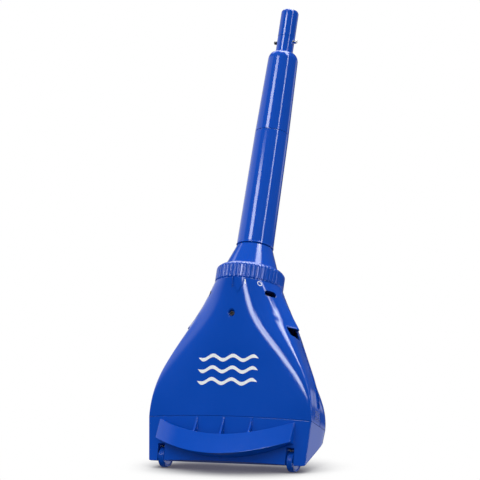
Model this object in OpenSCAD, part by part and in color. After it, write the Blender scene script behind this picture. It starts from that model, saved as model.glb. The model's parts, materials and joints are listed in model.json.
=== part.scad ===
// Battery-powered hand vacuum for pools and spas.
// Z runs up along the tube axis, -Y is the front face, X is the width of the head.
// Z = 0 is the front lip of the suction mouth. All sizes are millimetres.

/* [Pole spigot] */
// outside diameter of the spigot that slides into a pool pole
spigot_d = 28.4; // [27:0.2:30]
// length of the straight part of the spigot
spigot_len = 75; // [65:1:90]
// diameter of each snap button
button_d = 6.35; // [5:0.05:7]
// how far each snap button stands out of the spigot
button_out = 6; // [4:0.5:7]

/* [Tube] */
// outside diameter of the tube at the joint between battery tube and cap
tube_d = 54.6; // [54:0.2:60]
// length of the battery tube
tube_len = 193; // [185:1:210]
// length of the straight part of the battery cap
cap_len = 127; // [115:1:140]

/* [Head] */
// width of the head at the nose seam
head_w = 282; // [270:1:300]
// height of the nose cap, from the front lip to the seam
nose_h = 68; // [66:1:72]
// height of the head body, from the nose seam to the power ring
body_h = 214; // [210:1:225]
// how far the front face swells forward across its width
bow = 17; // [12:1:18]
// wall thickness of the head mouldings
wall = 3; // [2.4:0.2:3.2]

/* [Power ring] */
// outside diameter over the ribs of the power ring
ring_d = 108.6; // [106:0.2:112]
// height of the power ring
ring_h = 29; // [27:1:32]
// number of grip ribs around the ring
rib_count = 48; // [36:1:60]

/* [Wheels] */
// diameter of the two small wheels
wheel_d = 32; // [28:1:33]
// width of each wheel
wheel_w = 11.5; // [9:0.5:12]
// distance between the two wheel centres
wheel_track = 222; // [200:1:228]

/* [Hidden] */
$fn = 64;

// running clearance on radius, and the gap left where two mouldings meet
run_gap = 0.08;
seam_gap = 0.4;
parting_gap = 0.15;

// heights along the tube axis
cone_h = 38;
shoulder_h = 14;
z_neck = nose_h + body_h;
z_cone = z_neck + ring_h;
z_tube = z_cone + cone_h;
z_cap = z_tube + tube_len;
z_shoulder = z_cap + cap_len;
z_spigot = z_shoulder + shoulder_h;
z_tip = z_spigot + spigot_len;

// lines of the head: round neck above, wide triangular body below
neck_r = 54;
z_bend = nose_h + 82;
z_full = nose_h + 137;
seam_half = head_w / 2;
flank_slope = (seam_half - neck_r) / (z_neck - z_bend + (z_bend - nose_h) / 2);
nose_draft = 0.088;
nose_tuck = 0.18;
seam_front = 19;
seam_rear = 66;
front_lean = (neck_r - seam_front) / body_h;
part_y = 4;
front_corner = 22;

// pump, motor and cells on the tube axis
shaft_r = 1.6;
motor_r = 17.8;
motor_len = 54;
pump_r = 36.8;
z_deck = nose_h + 131;
z_plate = z_neck - 20;
z_flange = z_neck - 14;
journal_r = 44;
bore_r = 24.4;
cell_r = 17.1;
cell_len = 61.5;
cell_count = 4;
z_cells = z_tube + 17;
z_cell_top = z_cells + cell_count * cell_len;

// spigot, snap buttons and the bent spring strip inside it
spigot_r = spigot_d / 2;
spigot_bore = 11.3;
z_button = z_spigot + 20;
// the spigot is turned down a little around the buttons, and so is each button's stem
relief = 0.2;
relief_top = z_button + 8;
stem_r = button_d / 2 - 0.25;

// nose: slanted mouth, inner deck, intake port with its flap, wheels
mouth_y = 8;
mouth_slope = 46;
nose_deck_z = 58;
port_half = 45;
port_front = 9;
port_rear = 37;
throat_top = 94;
wheel_y = 18;
wheel_z = 9;
wheel_x = wheel_track / 2;
axle_r = 2.5;
slot_side = 0.7;

// bumper band on the front of the nose
band_half = 116;
band_h = 32;
band_rise = 26.5;
band_low = 5;
band_out = 15;
band_t = 3.4;
web_step = 47;
web_t = 3;

// side hoods, side channels and latches
hood_lip_z = nose_h + 145;
// discs each hood is stretched over: x, y and radius
hood_root = [41, 0, 14];
hood_body = [55, 1, 32.6];
hood_tip = [91, 1, 6];
notch_x = 65;
notch_rx = 44;
notch_ry = 19;
channel_depth = 2.6;
latch_top = 94;
latch_front = 6;
latch_rear = 30;
latch_pin_r = 1.8;

// fasteners
screw_r = 1.9;
screw_head_r = 3.6;
screw_head_h = 2.4;
counterbore = 13;
front_screw_z = 226;
recess_r = 5.4;
recess_y = -39.9;
post_r = 5;
upper_post = [86, 184.4];
lower_post = [115, 108.7];

// eases from 0 to 1 with level ends
function ease(u) = let (c = min(1, max(0, u))) c * c * (3 - 2 * c);
// 0 at the round neck, 1 where the body has its full wide section
function flare(z) = ease((z_neck - z) / (z_neck - z_full));
function half_w(z) =
    z < nose_h ? seam_half - nose_draft * (nose_h - z)
    : z < z_bend ? seam_half - flank_slope * pow(z - nose_h, 2) / (2 * (z_bend - nose_h))
    : neck_r + flank_slope * (z_neck - z);
function front_y(z) = -neck_r + front_lean * (z_neck - z);
// 0 at the neck, 1 from the nose seam downwards
function drop(z) = min(1, max(0, (z_neck - z) / body_h));
function bow_at(z) = bow * drop(z);
function rear_y(z) = neck_r + (seam_rear - neck_r) * drop(z);
function mid_y(z) = part_y * flare(z) + nose_tuck * max(0, nose_h - z);
// squareness of the section: 2 is round, larger is boxier
function front_square(z) = 2 + front_corner * pow(drop(z), 3.1);
function rear_square(z) = 2 + 1.3 * flare(z) + 7 * ease((z_bend - 15 - z) / (z_bend - 15 - nose_h));

// one point of the head's skin at height z, moved inwards by inset
function skin(z, angle, inset) = let (
    front = sin(angle) < 0,
    power = front ? front_square(z) : rear_square(z),
    reach = pow(pow(abs(cos(angle)), power) + pow(abs(sin(angle)), power), -1 / power),
    half = half_w(z) - inset,
    depth = front ? max(1, mid_y(z) - front_y(z) - bow_at(z) - inset) : rear_y(z) - mid_y(z) - inset,
    x = half * reach * cos(angle),
    swell = front ? bow_at(z) * (1 - pow(x / half, 2)) : 0
) [x, mid_y(z) + depth * reach * sin(angle) - swell, z];

// y of the front or rear skin at a place across the width
function front_skin(x, z) = let (
    u = abs(x) / half_w(z),
    power = front_square(z),
    depth = mid_y(z) - front_y(z) - bow_at(z)
) mid_y(z) - depth * pow(1 - pow(u, power), 1 / power) - bow_at(z) * (1 - u * u);
function rear_skin(x, z) = let (
    u = abs(x) / half_w(z),
    power = rear_square(z)
) mid_y(z) + (rear_y(z) - mid_y(z)) * pow(1 - pow(u, power), 1 / power);

function mean(values) = values * [for (v = values) 1] / len(values);

// heights where sections of the head are drawn
function levels(low, high, count) = [for (i = [0 : count]) low + (high - low) * i / count];

// solid between sections of the skin from angle a0 to angle a1; each end is a fan about its middle
module loft(heights, a0, a1, steps, inset) {
    n = a1 - a0 == 360 ? steps : steps + 1;
    last = len(heights) - 1;
    rings = [for (z = heights) [for (i = [0 : n - 1]) skin(z, a0 + (a1 - a0) * i / steps, inset)]];
    middles = [for (k = [0, last]) [for (axis = [0 : 2]) mean([for (p = rings[k]) p[axis]])]];
    points = concat([for (ring = rings) each ring], middles);
    sides = [for (k = [0 : last - 1]) for (i = [0 : n - 1]) let (
        a = k * n + i,
        b = k * n + (i + 1) % n
    ) each [[a, a + n, b], [b, a + n, b + n]]];
    floor_fan = [for (i = [0 : n - 1]) [i, (i + 1) % n, len(points) - 2]];
    roof_fan = [for (i = [0 : n - 1]) [last * n + (i + 1) % n, last * n + i, len(points) - 1]];
    polyhedron(points, concat(sides, floor_fan, roof_fan), convexity = 6);
}

module at_both_sides() {
    for (side = [-1, 1]) scale([side, 1, 1]) children();
}

// cylinder lying along Y from y0 to y1
module y_rod(r, y0, y1) {
    translate([0, y0, 0]) rotate([-90, 0, 0]) cylinder(r = r, h = y1 - y0);
}

// cylinder lying along X, centred
module x_rod(r, w) {
    rotate([0, 90, 0]) cylinder(r = r, h = w, center = true);
}

module tube(r_out, r_in, low, high) {
    translate([0, 0, low]) difference() {
        cylinder(r = r_out, h = high - low);
        translate([0, 0, -1]) cylinder(r = r_in, h = high - low + 2);
    }
}

// outlet scoop on one side, grown or shrunk by inset
module hood(inset) {
    module disc(place, z, h) translate([place.x, place.y, z]) cylinder(r = place.z - inset, h = h, $fn = 40);
    hull() {
        disc(hood_body, hood_lip_z, 1.5);
        disc(hood_tip, hood_lip_z, 1.5);
        disc(hood_root, z_neck - 8, 8);
    }
}

// notch below the hood where the water leaves; its floor is a shoulder that slopes outwards
module outlet_notch() {
    inner_x = 76;
    outer_x = 140;
    inner_h = 9.5;
    outer_h = 14;
    outline = [
        [inner_x, hood_lip_z + 0.1],
        [outer_x, hood_lip_z + 0.1],
        [outer_x, hood_lip_z - outer_h],
        [98, hood_lip_z - outer_h],
        [88, hood_lip_z - 11],
        [inner_x, hood_lip_z - inner_h]
    ];
    intersection() {
        translate([notch_x, 1, hood_lip_z - 20])
            scale([notch_rx, notch_ry, 1]) cylinder(r = 1, h = 21);
        translate([0, 60, 0]) rotate([90, 0, 0]) linear_extrude(120) polygon(outline);
    }
}

// everything in front of the parting line, or behind it
module beside_parting(heights, side) {
    outline = concat([for (z = heights) [mid_y(z), z]], [[side * 90, z_neck], [side * 90, heights[0]]]);
    translate([-160, 0, 0]) rotate([90, 0, 90]) linear_extrude(320) polygon(outline);
}

// slanted strip that follows the flank, from outer inset to inner inset
module flank_band(outer, inner, y0, y1) {
    heights = levels(nose_h - 2, z_bend + 50, 16);
    outline = concat(
        [for (z = heights) [half_w(z) - outer, z]],
        [for (i = [len(heights) - 1 : -1 : 0]) [half_w(heights[i]) - inner, heights[i]]]
    );
    translate([0, y1, 0]) rotate([90, 0, 0]) linear_extrude(y1 - y0) polygon(outline);
}

// wedge seen from the side: narrow at the top, wide at the latch
module channel_wedge(grow) {
    outline = [
        [latch_front - grow, nose_h - 2],
        [latch_rear + 1 + grow, nose_h - 2],
        [latch_rear - 3 + grow, latch_top + 2],
        [20 + grow, z_bend + 42 + grow],
        [15 - grow, z_bend + 42 + grow]
    ];
    rotate([90, 0, 90]) linear_extrude(seam_half + 20) polygon(outline);
}

// two small blocks inside the flank that carry the ends of the latch pin
module latch_bearings() {
    for (span = [[part_y + 0.3, latch_front - 0.1], [latch_rear + 0.1, latch_rear + 3.6]])
        translate([half_w(latch_top) - 8, span[0], latch_top - 7])
            cube([6, span[1] - span[0], 6]);
}

// line the latch swings about
module on_latch_pivot() {
    translate([half_w(latch_top) - 5, 0, latch_top - 4]) children();
}

module latch_window() {
    translate([seam_half - 22, latch_front, nose_h - 2])
        cube([30, latch_rear - latch_front, latch_top - nose_h + 2]);
}

// collar inside the top of both shells that holds the motor housing flange
module neck_collar(y0, y1) {
    intersection() {
        tube(52, journal_r + 0.4, z_neck - 7, z_neck - seam_gap);
        translate([-60, y0, z_neck - 30]) cube([120, y1 - y0, 60]);
    }
}

// oval hole through the front skin, beside the neck
module front_vent() {
    vent_z = z_neck - 19.5;
    vent_turn = 26;
    vent_half = 5.5;
    vent_r = 4.5;
    rotate([0, 0, -vent_turn]) translate([45, 0, vent_z])
        rotate([90, 0, 90]) linear_extrude(30) hull()
            for (s = [-vent_half, vent_half]) translate([s, 0]) circle(vent_r);
}

module front_shell() color("royalblue") {
    outer = levels(nose_h + seam_gap / 2, z_neck - seam_gap / 2, 16);
    inner = levels(nose_h - 1, z_neck + 1, 12);
    difference() {
        union() {
            difference() {
                union() {
                    loft(outer, 180, 360, 40, 0);
                    intersection() {
                        at_both_sides() hood(0);
                        beside_parting(outer, -1);
                    }
                }
                loft(inner, 0, 360, 56, wall);
                at_both_sides() hood(wall);
            }
            neck_collar(-60, 0);
            index_pad();
            at_both_sides() for (p = [upper_post, lower_post])
                translate([p.x, 0, p.y]) y_rod(post_r, front_skin(p.x + post_r, p.y) + 1, 3.5);
            translate([0, 0, front_screw_z]) y_rod(recess_r + 1.6, recess_y - 2, recess_y + 1.6);
        }
        at_both_sides() outlet_notch();
        at_both_sides() front_vent();
        at_both_sides() for (p = [upper_post, lower_post])
            translate([p.x, 0, p.y]) y_rod(screw_r, -8, 8);
        translate([0, 0, front_screw_z]) y_rod(screw_r + 0.2, -60, -20);
        translate([0, 0, front_screw_z]) y_rod(recess_r, -60, recess_y);
    }
}

// low leaf-shaped pointer under the ring, with a thin rib beside it
module index_pad() {
    intersection() {
        rotate([90, 0, 9]) linear_extrude(neck_r + 1.2)
            polygon([[-9, z_neck - 1], [9, z_neck - 1], [8.5, z_neck - 12], [4, z_neck - 24]]);
        difference() {
            translate([0, 0, z_neck - 26]) cylinder(r1 = neck_r - 2.8, r2 = neck_r + 1, h = 25.6);
            translate([0, 0, z_neck - 27]) cylinder(r = neck_r - 6, h = 28);
        }
    }
    rotate([0, 0, -1]) translate([-0.8, -neck_r - 0.8, z_neck - 16]) cube([1.6, 4, 15.5]);
}

module rear_shell() color("royalblue") {
    outer = levels(nose_h + seam_gap / 2, z_neck - seam_gap / 2, 16);
    inner = levels(nose_h - 1, z_neck + 1, 12);
    difference() {
        union() {
            difference() {
                union() {
                    translate([0, parting_gap, 0]) loft(outer, 0, 180, 40, 0);
                    intersection() {
                        at_both_sides() hood(0);
                        translate([0, parting_gap, 0]) beside_parting(outer, 1);
                    }
                }
                loft(inner, 0, 360, 56, wall);
                at_both_sides() hood(wall);
                at_both_sides() intersection() {
                    flank_band(-20, channel_depth, latch_front, 40);
                    channel_wedge(0);
                }
            }
            at_both_sides() intersection() {
                flank_band(channel_depth, channel_depth + wall, mid_y(nose_h) + 0.2, 44);
                channel_wedge(2.5);
                translate([0, 0, nose_h + seam_gap / 2]) cube([200, 100, body_h]);
            }
            neck_collar(parting_gap, 60);
            at_both_sides() latch_bearings();
            at_both_sides() for (p = [upper_post, lower_post])
                translate([p.x, 0, p.y]) y_rod(post_r, mid_y(p.y) + 0.3, rear_skin(p.x + post_r, p.y) - 1);
        }
        at_both_sides() outlet_notch();
        at_both_sides() latch_window();
        at_both_sides() on_latch_pivot() y_rod(latch_pin_r + run_gap, part_y, latch_rear + 3.2);
        at_both_sides() for (p = [upper_post, lower_post])
            translate([p.x, 0, p.y]) {
                y_rod(screw_r + 0.2, 0, 80);
                y_rod(screw_head_r + 0.3, rear_skin(p.x, p.y) - counterbore, 80);
            }
    }
}

// half-space under the slanted suction mouth
module below_mouth() {
    translate([-seam_half - 5, mouth_y, 0]) rotate([mouth_slope, 0, 0])
        translate([0, -60, -140]) cube([head_w + 10, 240, 140]);
}

module wheel_slot(grow, low) {
    translate([wheel_x - wheel_w / 2 - slot_side - grow, -14, low])
        cube([wheel_w + 2 * slot_side + 2 * grow, wheel_y + wheel_d / 2 + 16 + grow,
            wheel_z + wheel_d / 2 + 1 + grow - low]);
}

module nose_cap() color("royalblue") {
    skin_levels = levels(0, nose_h - seam_gap / 2, 5);
    deep_levels = levels(wall, nose_deck_z, 4);
    top_levels = levels(nose_deck_z + wall, nose_h + 2, 2);
    lip_levels = [nose_deck_z + 2, nose_h + 7];
    difference() {
        union() {
            difference() {
                loft(skin_levels, 0, 360, 80, 0);
                loft(deep_levels, 0, 360, 56, wall);
                loft(top_levels, 0, 360, 56, wall);
            }
            nose_lip(lip_levels);
            intersection() {
                at_both_sides() wheel_slot(wall, 0.5);
                loft(skin_levels, 0, 360, 80, 1);
            }
            bumper_band();
            for (x = [-web_step, 0, web_step]) bumper_web(x);
        }
        translate([-port_half, port_front, nose_deck_z - 1])
            cube([2 * port_half, port_rear - port_front, wall + 2]);
        at_both_sides() wheel_slot(0, -5);
        at_both_sides() translate([wheel_x, wheel_y, wheel_z]) x_rod(axle_r, wheel_w + 10);
        below_mouth();
    }
}

// upright lip inside the seam that centres the head on the nose
module nose_lip(heights) {
    intersection() {
        difference() {
            loft(heights, 0, 360, 56, wall + 0.5);
            loft([heights[0] - 1, heights[1] + 1], 0, 360, 56, wall + 3);
        }
        translate([-seam_half + 24, -60, 0]) cube([head_w - 48, 160, z_bend]);
    }
}

// bar bowed forward across the front, its top and bottom edges curved like a smile
module bumper_band() {
    function smile(x) = band_rise * pow(x / band_half, 2);
    function stand(x) = front_y(36) + bow * pow(x / seam_half, 2) - band_out + 4 * pow(x / band_half, 6);
    function across(steps) = [for (i = [0 : steps]) band_half * (2 * i / steps - 1)];
    function plan(shrink) = concat(
        [for (x = across(24)) [x * (band_half - shrink) / band_half, stand(x) + shrink]],
        [[band_half - shrink, 20], [shrink - band_half, 20]]
    );
    elevation = concat(
        [for (x = across(19)) [x, band_low + smile(x)]],
        [for (x = across(19)) [-x, band_low + band_h + smile(x)]]
    );
    module leaning() translate([0, 0, 36]) rotate([-atan(front_lean), 0, 0])
        translate([0, 0, -60]) linear_extrude(120) children();
    module from_front() rotate([90, 0, 0]) linear_extrude(60) children();

    intersection() {
        leaning() difference() {
            polygon(plan(0));
            polygon(plan(band_t));
        }
        from_front() polygon(elevation);
    }
    intersection() {
        leaning() polygon(plan(0.01));
        from_front() difference() {
            polygon(elevation);
            translate([0, band_t]) polygon(elevation);
        }
        translate([-band_half, front_y(20) - band_out - 6, 0])
            cube([2 * band_half, band_out + 9, nose_h]);
    }
}

// upright fin between band and nose face, its front edge scooped
module bumper_web(x) {
    foot_z = band_low + 4;
    top_z = nose_h - 1;
    band_top = band_low + band_h + band_rise * pow(x / band_half, 2);
    swell = bow * pow(x / seam_half, 2);
    tip_y = front_y(top_z) + swell - 0.5;
    rest_y = front_y(band_top) + swell - band_out + 2;
    scoop = [for (i = [0 : 6]) let (u = i / 6) [
        rest_y + (tip_y - rest_y) * sin(90 * u),
        band_top - 1 + (top_z - band_top + 1) * (1 - cos(90 * u))
    ]];
    outline = concat(
        scoop,
        [[front_y(top_z) + swell + 2, top_z]],
        [[front_y(foot_z + 8) + swell + 2, foot_z + 8]],
        [[rest_y + 1, foot_z + 8]]
    );
    translate([x - web_t / 2, 0, 0]) rotate([90, 0, 90]) linear_extrude(web_t) polygon(outline);
}

// tyre with a narrow hub step on both faces
module wheel(x) color("royalblue") translate([x, wheel_y, wheel_z]) difference() {
    union() {
        x_rod(wheel_d / 2, wheel_w - 1);
        x_rod(6, wheel_w);
    }
    x_rod(axle_r + run_gap, wheel_w + 4);
    at_both_sides() translate([wheel_w / 2, 0, 0]) difference() {
        x_rod(wheel_d / 2 - 3, 3);
        x_rod(6, 4);
    }
}

module wheel_left() wheel(-wheel_x);
module wheel_right() wheel(wheel_x);

module axle(x) color("silver") translate([x, wheel_y, wheel_z]) x_rod(axle_r, wheel_w + 7);
module axle_left() axle(-wheel_x);
module axle_right() axle(wheel_x);

// tall frame around the intake port that carries the filter bag
module bag_frame() color("dimgray") {
    low = nose_deck_z + wall + 0.1;
    translate([0, 0, low]) difference() {
        union() {
            translate([-port_half - 3, port_front - 3, 0])
                cube([2 * port_half + 6, port_rear - port_front + 10, throat_top - low]);
            translate([-port_half - 7, port_front - 7, 0])
                cube([2 * port_half + 14, port_rear - port_front + 18, 2]);
        }
        translate([-port_half, port_front, -1])
            cube([2 * port_half, port_rear - port_front + 4, throat_top]);
        translate([0, port_rear + 0.5, 4]) x_rod(1.5, 2 * port_half + 10);
    }
}

module flap_pin() color("silver")
    translate([0, port_rear + 0.5, nose_deck_z + wall + 4.1]) x_rod(1.5, 2 * port_half + 5);

// one-way flap that falls shut over the port
module intake_flap() color("darkslategray") {
    hinge_z = nose_deck_z + wall + 4.1;
    difference() {
        union() {
            translate([-port_half + 1, port_front + 1, nose_deck_z + wall + 0.6])
                cube([2 * port_half - 2, port_rear - port_front - 2, 2]);
            for (x = [-30, 0, 30]) translate([x, port_rear + 0.5, hinge_z]) x_rod(3, 14);
            for (x = [-30, 0, 30]) translate([x - 7, port_rear - 6, nose_deck_z + wall + 0.6])
                cube([14, 6.5, 3]);
        }
        translate([0, port_rear + 0.5, hinge_z]) x_rod(1.5 + run_gap, 2 * port_half + 4);
    }
}

// soft filter bag standing on the frame, filling the middle of the head
module filter_bag() color("gainsboro") hull() {
    translate([-port_half - 10, port_front - 6, throat_top + 2])
        cube([2 * port_half + 20, port_rear - port_front + 14, 1]);
    translate([-86, -8, throat_top + 32]) cube([172, 48, 18]);
    translate([-52, -6, z_deck - 16]) cube([104, 44, 2]);
}

// plate between bag chamber and pump, with a grille under the impeller
module pump_deck() color("dimgray") {
    outline = [for (i = [0 : 55]) let (p = skin(z_deck, 360 * i / 56, wall + 1.6)) [p.x, p.y]];
    difference() {
        translate([0, 0, z_deck]) linear_extrude(2.6) polygon(outline);
        for (ring = [0 : 1]) for (i = [0 : 7]) rotate([0, 0, 45 * i + 22.5 * ring])
            translate([9 + 8 * ring, 0, z_deck - 1]) cylinder(r = 2.4, h = 5, $fn = 24);
    }
}

// cup around the impeller, open to both outlet hoods
module pump_housing() color("dimgray") {
    low = z_deck + 2.7;
    difference() {
        union() {
            translate([0, 0, low]) cylinder(r = pump_r, h = z_plate - low);
            translate([0, 0, z_plate - 3]) cylinder(r = journal_r + 1, h = 3);
            translate([0, 0, front_screw_z]) y_rod(5, recess_y + 1.7, -pump_r + 3);
        }
        translate([0, 0, low + 3]) cylinder(r = pump_r - 2.4, h = z_plate);
        translate([0, 0, low - 1]) cylinder(r = 22, h = 10);
        translate([-60, -15, low + 12]) cube([120, 30, 30]);
        translate([0, 0, front_screw_z]) y_rod(screw_r, -pump_r - 6, -pump_r + 5);
    }
}

module impeller() color("darkslategray") {
    low = z_deck + 12;
    difference() {
        union() {
            translate([0, 0, low]) cylinder(r = 6, h = 24);
            translate([0, 0, low + 16]) cylinder(r = 29, h = 2.4);
            for (i = [0 : 5]) rotate([0, 0, 60 * i]) translate([4, -1.2, low])
                cube([24.5, 2.4, 17]);
        }
        translate([0, 0, low - 1]) cylinder(r = shaft_r, h = 27);
    }
}

module motor_shaft() color("silver")
    translate([0, 0, z_deck + 12]) cylinder(r = shaft_r, h = z_plate + 4 + motor_len + 4 - z_deck - 12);

module shaft_seal() color("black") tube(6, shaft_r + run_gap, z_plate - 5, z_plate - 0.1);

module motor_mount() color("dimgray") difference() {
    translate([0, 0, z_plate]) cylinder(r = journal_r - 1, h = 4);
    translate([0, 0, z_plate - 1]) cylinder(r = 3, h = 6);
    for (x = [-8, 8]) translate([x, 0, z_plate - 1]) cylinder(r = 1.7, h = 6);
}

module motor() color("silver") {
    low = z_plate + 4.1;
    difference() {
        union() {
            translate([0, 0, low]) cylinder(r = motor_r, h = motor_len);
            translate([0, 0, low + motor_len]) cylinder(r = 6, h = 3);
        }
        translate([0, 0, low - 1]) cylinder(r = shaft_r + run_gap, h = motor_len + 6);
    }
}

module motor_leads() color("firebrick") for (x = [-11, 11])
    translate([x, 0, z_plate + 4.2 + motor_len]) cylinder(r = 1, h = z_cells - 5 - z_plate - 4.4 - motor_len);

// motor housing: flange, journal for the ring, cone and plug for the tube
module motor_housing() color("royalblue") difference() {
    union() {
        translate([0, 0, z_flange]) cylinder(r = 47.4, h = 6.8);
        translate([0, 0, z_flange]) cylinder(r = journal_r, h = z_cone - 2 - z_flange);
        translate([0, 0, z_cone - 2]) cylinder(r1 = 43.4, r2 = 28.1, h = cone_h + 2 - seam_gap);
        translate([0, 0, z_cone]) cylinder(r = bore_r - 0.05, h = cone_h + 12);
    }
    translate([0, 0, z_flange - 1]) cylinder(r = 38, h = 32);
    translate([0, 0, z_flange + 30.9]) cylinder(r1 = 38, r2 = 20, h = 40);
    translate([0, 0, z_flange + 70]) cylinder(r = 20, h = 60);
    rotate([0, 0, 210]) translate([journal_r - 8, -3, z_neck + 6]) cube([4, 6, 18]);
    rotate([0, 0, 180]) translate([0, 0, z_neck + 4]) rotate([0, 90, 0]) cylinder(r = 2, h = 60);
}

module reed_switch() color("gold") rotate([0, 0, 210])
    translate([journal_r - 6, 0, z_neck + 7]) cylinder(r = 1.6, h = 15);

module ring_magnet() color("silver") rotate([0, 0, 210])
    translate([journal_r + 2, -4, z_neck + 9]) cube([4, 8, 10]);

// pin in the journal that stops the ring at ON and at OFF
module stop_pin() color("silver") rotate([0, 0, 180]) translate([0, 0, z_neck + 4])
    rotate([0, 90, 0]) translate([0, 0, journal_r - 5]) cylinder(r = 2, h = 7);

// turning ring with grip ribs; it carries the magnet
module power_ring() color("royalblue") {
    ring_r = ring_d / 2;
    rib = 0.9;
    travel = 23;
    low = z_neck + 0.3;
    difference() {
        union() {
            translate([0, 0, low]) cylinder(r = ring_r - rib, h = ring_h - 8);
            translate([0, 0, low + ring_h - 8]) rotate_extrude() intersection() {
                translate([ring_r - rib - 8, 0]) circle(r = 8);
                square([ring_r, 7.6]);
            }
            translate([0, 0, low + ring_h - 8.1]) cylinder(r = ring_r - rib - 8, h = 7.7);
            for (i = [0 : rib_count - 1]) rotate([0, 0, 360 * i / rib_count])
                translate([ring_r - rib - 1, -1, low + 0.6]) cube([rib + 1, 2, ring_h - 10]);
        }
        translate([0, 0, low - 1]) cylinder(r = journal_r + run_gap, h = ring_h + 2);
        rotate([0, 0, 210]) translate([journal_r - 1, -4, z_neck + 9]) cube([7, 8, 10]);
        translate([0, 0, z_neck + 1.5]) rotate([0, 0, 180 - travel - 3.5])
            rotate_extrude(angle = travel + 7) translate([journal_r - 1, 0]) square([3.6, 5]);
    }
}

// battery tube with a small lip at its lower end
module battery_tube() color("royalblue") difference() {
    union() {
        translate([0, 0, z_tube]) cylinder(r1 = tube_d / 2 + 2, r2 = tube_d / 2, h = tube_len);
        translate([0, 0, z_tube]) cylinder(r = tube_d / 2 + 2.4, h = 1.6);
    }
    translate([0, 0, z_tube - 1]) cylinder(r = bore_r, h = tube_len + 2);
}

// thin sleeve with four fins that centres the cells in the tube
module cell_sleeve() color("dimgray") {
    low = z_cells;
    high = z_cap - 24;
    tube(cell_r + 1.5, cell_r + 0.3, low, high);
    for (i = [0 : 3]) rotate([0, 0, 90 * i + 45])
        translate([cell_r + 1.2, -1, low]) cube([bore_r - cell_r - 1.4, 2, high - low]);
}

module cells() color("goldenrod") for (i = [0 : cell_count - 1])
    translate([0, 0, z_cells + i * cell_len + 0.02]) {
        cylinder(r = cell_r, h = cell_len - 1.6);
        cylinder(r = 4.7, h = cell_len - 0.06);
    }

module bottom_contact() color("gold") {
    translate([0, 0, z_cells - 5]) cylinder(r = 19.9, h = 1);
    translate([0, 0, z_cells - 4]) cylinder(r1 = 6, r2 = 3, h = 3.9);
}

module cap_contact() color("gold") {
    translate([0, 0, z_cell_top + 5]) cylinder(r = 14, h = 1);
    translate([0, 0, z_cell_top + 0.1]) cylinder(r1 = 4, r2 = 8, h = 5);
}

// upper tube, rounded shoulder and pole spigot in one moulding
module battery_cap() color("royalblue") {
    top_r = tube_d / 2 - 3;
    ceiling = z_cell_top + 6.1;
    shoulder = concat([[0, 0]], [for (a = [0 : 9 : 90])
        [spigot_r + (top_r - spigot_r) * cos(a), shoulder_h * sin(a)]], [[0, shoulder_h]]);
    difference() {
        union() {
            translate([0, 0, z_cap + seam_gap]) cylinder(r1 = tube_d / 2 - 0.1, r2 = top_r, h = cap_len - seam_gap);
            translate([0, 0, z_shoulder]) rotate_extrude() polygon(shoulder);
            translate([0, 0, z_shoulder]) cylinder(r = spigot_r - relief, h = z_tip - z_shoulder - 3);
            translate([0, 0, relief_top]) cylinder(r = spigot_r, h = z_tip - relief_top - 3);
            translate([0, 0, z_tip - 3]) cylinder(r1 = spigot_r, r2 = spigot_r - 1.6, h = 3);
            translate([0, 0, z_cap - 22]) cylinder(r = bore_r - run_gap, h = 23);
        }
        translate([0, 0, z_cap - 23]) cylinder(r = cell_r + 3, h = ceiling - z_cap + 23);
        translate([0, 0, z_spigot + 2]) cylinder(r = spigot_bore, h = spigot_len + 2);
        translate([0, 0, z_button]) x_rod(button_d / 2 + run_gap, 3 * spigot_d);
        translate([0, 0, z_cap - 9]) rotate_extrude() translate([bore_r - 2.4, 0]) square([4, 2.8]);
    }
}

module cap_o_ring() color("black") translate([0, 0, z_cap - 7.6]) rotate_extrude()
    translate([bore_r - 1.2, 0]) circle(r = 1.15, $fn = 24);

// spring strip bent over inside the spigot
module spring_clip() color("silver") {
    bend_r = spigot_bore - 1;
    top = z_button + 30;
    difference() {
        union() {
            translate([0, 0, top]) rotate([90, 0, 0]) cylinder(r = bend_r, h = 8, center = true);
            translate([-bend_r, -4, z_button + 9]) cube([2 * bend_r, 8, top - z_button - 9]);
        }
        translate([0, 0, top]) rotate([90, 0, 0]) cylinder(r = bend_r - 1, h = 20, center = true);
        translate([-bend_r + 1, -10, z_button]) cube([2 * bend_r - 2, 20, top - z_button]);
    }
}

// snap button with the flat spring pad behind it
module snap_button() color("silver") {
    pad_x = spigot_bore - 2.2;
    translate([pad_x, -4, z_button - 7]) cube([1, 8, 15]);
    translate([pad_x, 0, z_button]) rotate([0, 90, 0]) cylinder(r = stem_r, h = spigot_r - pad_x + 1);
    translate([spigot_r + 0.3, 0, z_button]) rotate([0, 90, 0])
        cylinder(r = button_d / 2, h = button_out - 1.3);
    translate([spigot_r + button_out - 1, 0, z_button]) rotate([0, 90, 0])
        cylinder(r1 = button_d / 2, r2 = button_d / 2 - 0.9, h = 1);
}

module snap_button_right() snap_button();
module snap_button_left() rotate([0, 0, 180]) snap_button();

// press pad that lets the nose go, hung from a pin at its top
module latch() color("royalblue") {
    gap = seam_gap;
    intersection() {
        flank_band(0.2, wall, latch_front + gap, latch_rear - gap);
        translate([0, 0, nose_h + gap]) cube([200, 60, latch_top - nose_h - 2 * gap]);
    }
    width = latch_rear - latch_front;
    on_latch_pivot() y_rod(latch_pin_r, latch_front - 1.2, latch_rear + 3);
    on_latch_pivot() translate([0, latch_front + 6, -1.6]) cube([3.4, width - 12, 3.4]);
    translate([half_w(nose_h) - 7.5, latch_front + 6, nose_h - 5]) cube([3, width - 12, 11]);
    translate([half_w(nose_h) - 7.5, latch_front + 6, nose_h + 3]) cube([5.5, width - 12, 3]);
}

module latch_right() latch();
module latch_left() mirror([1, 0, 0]) latch();

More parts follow.
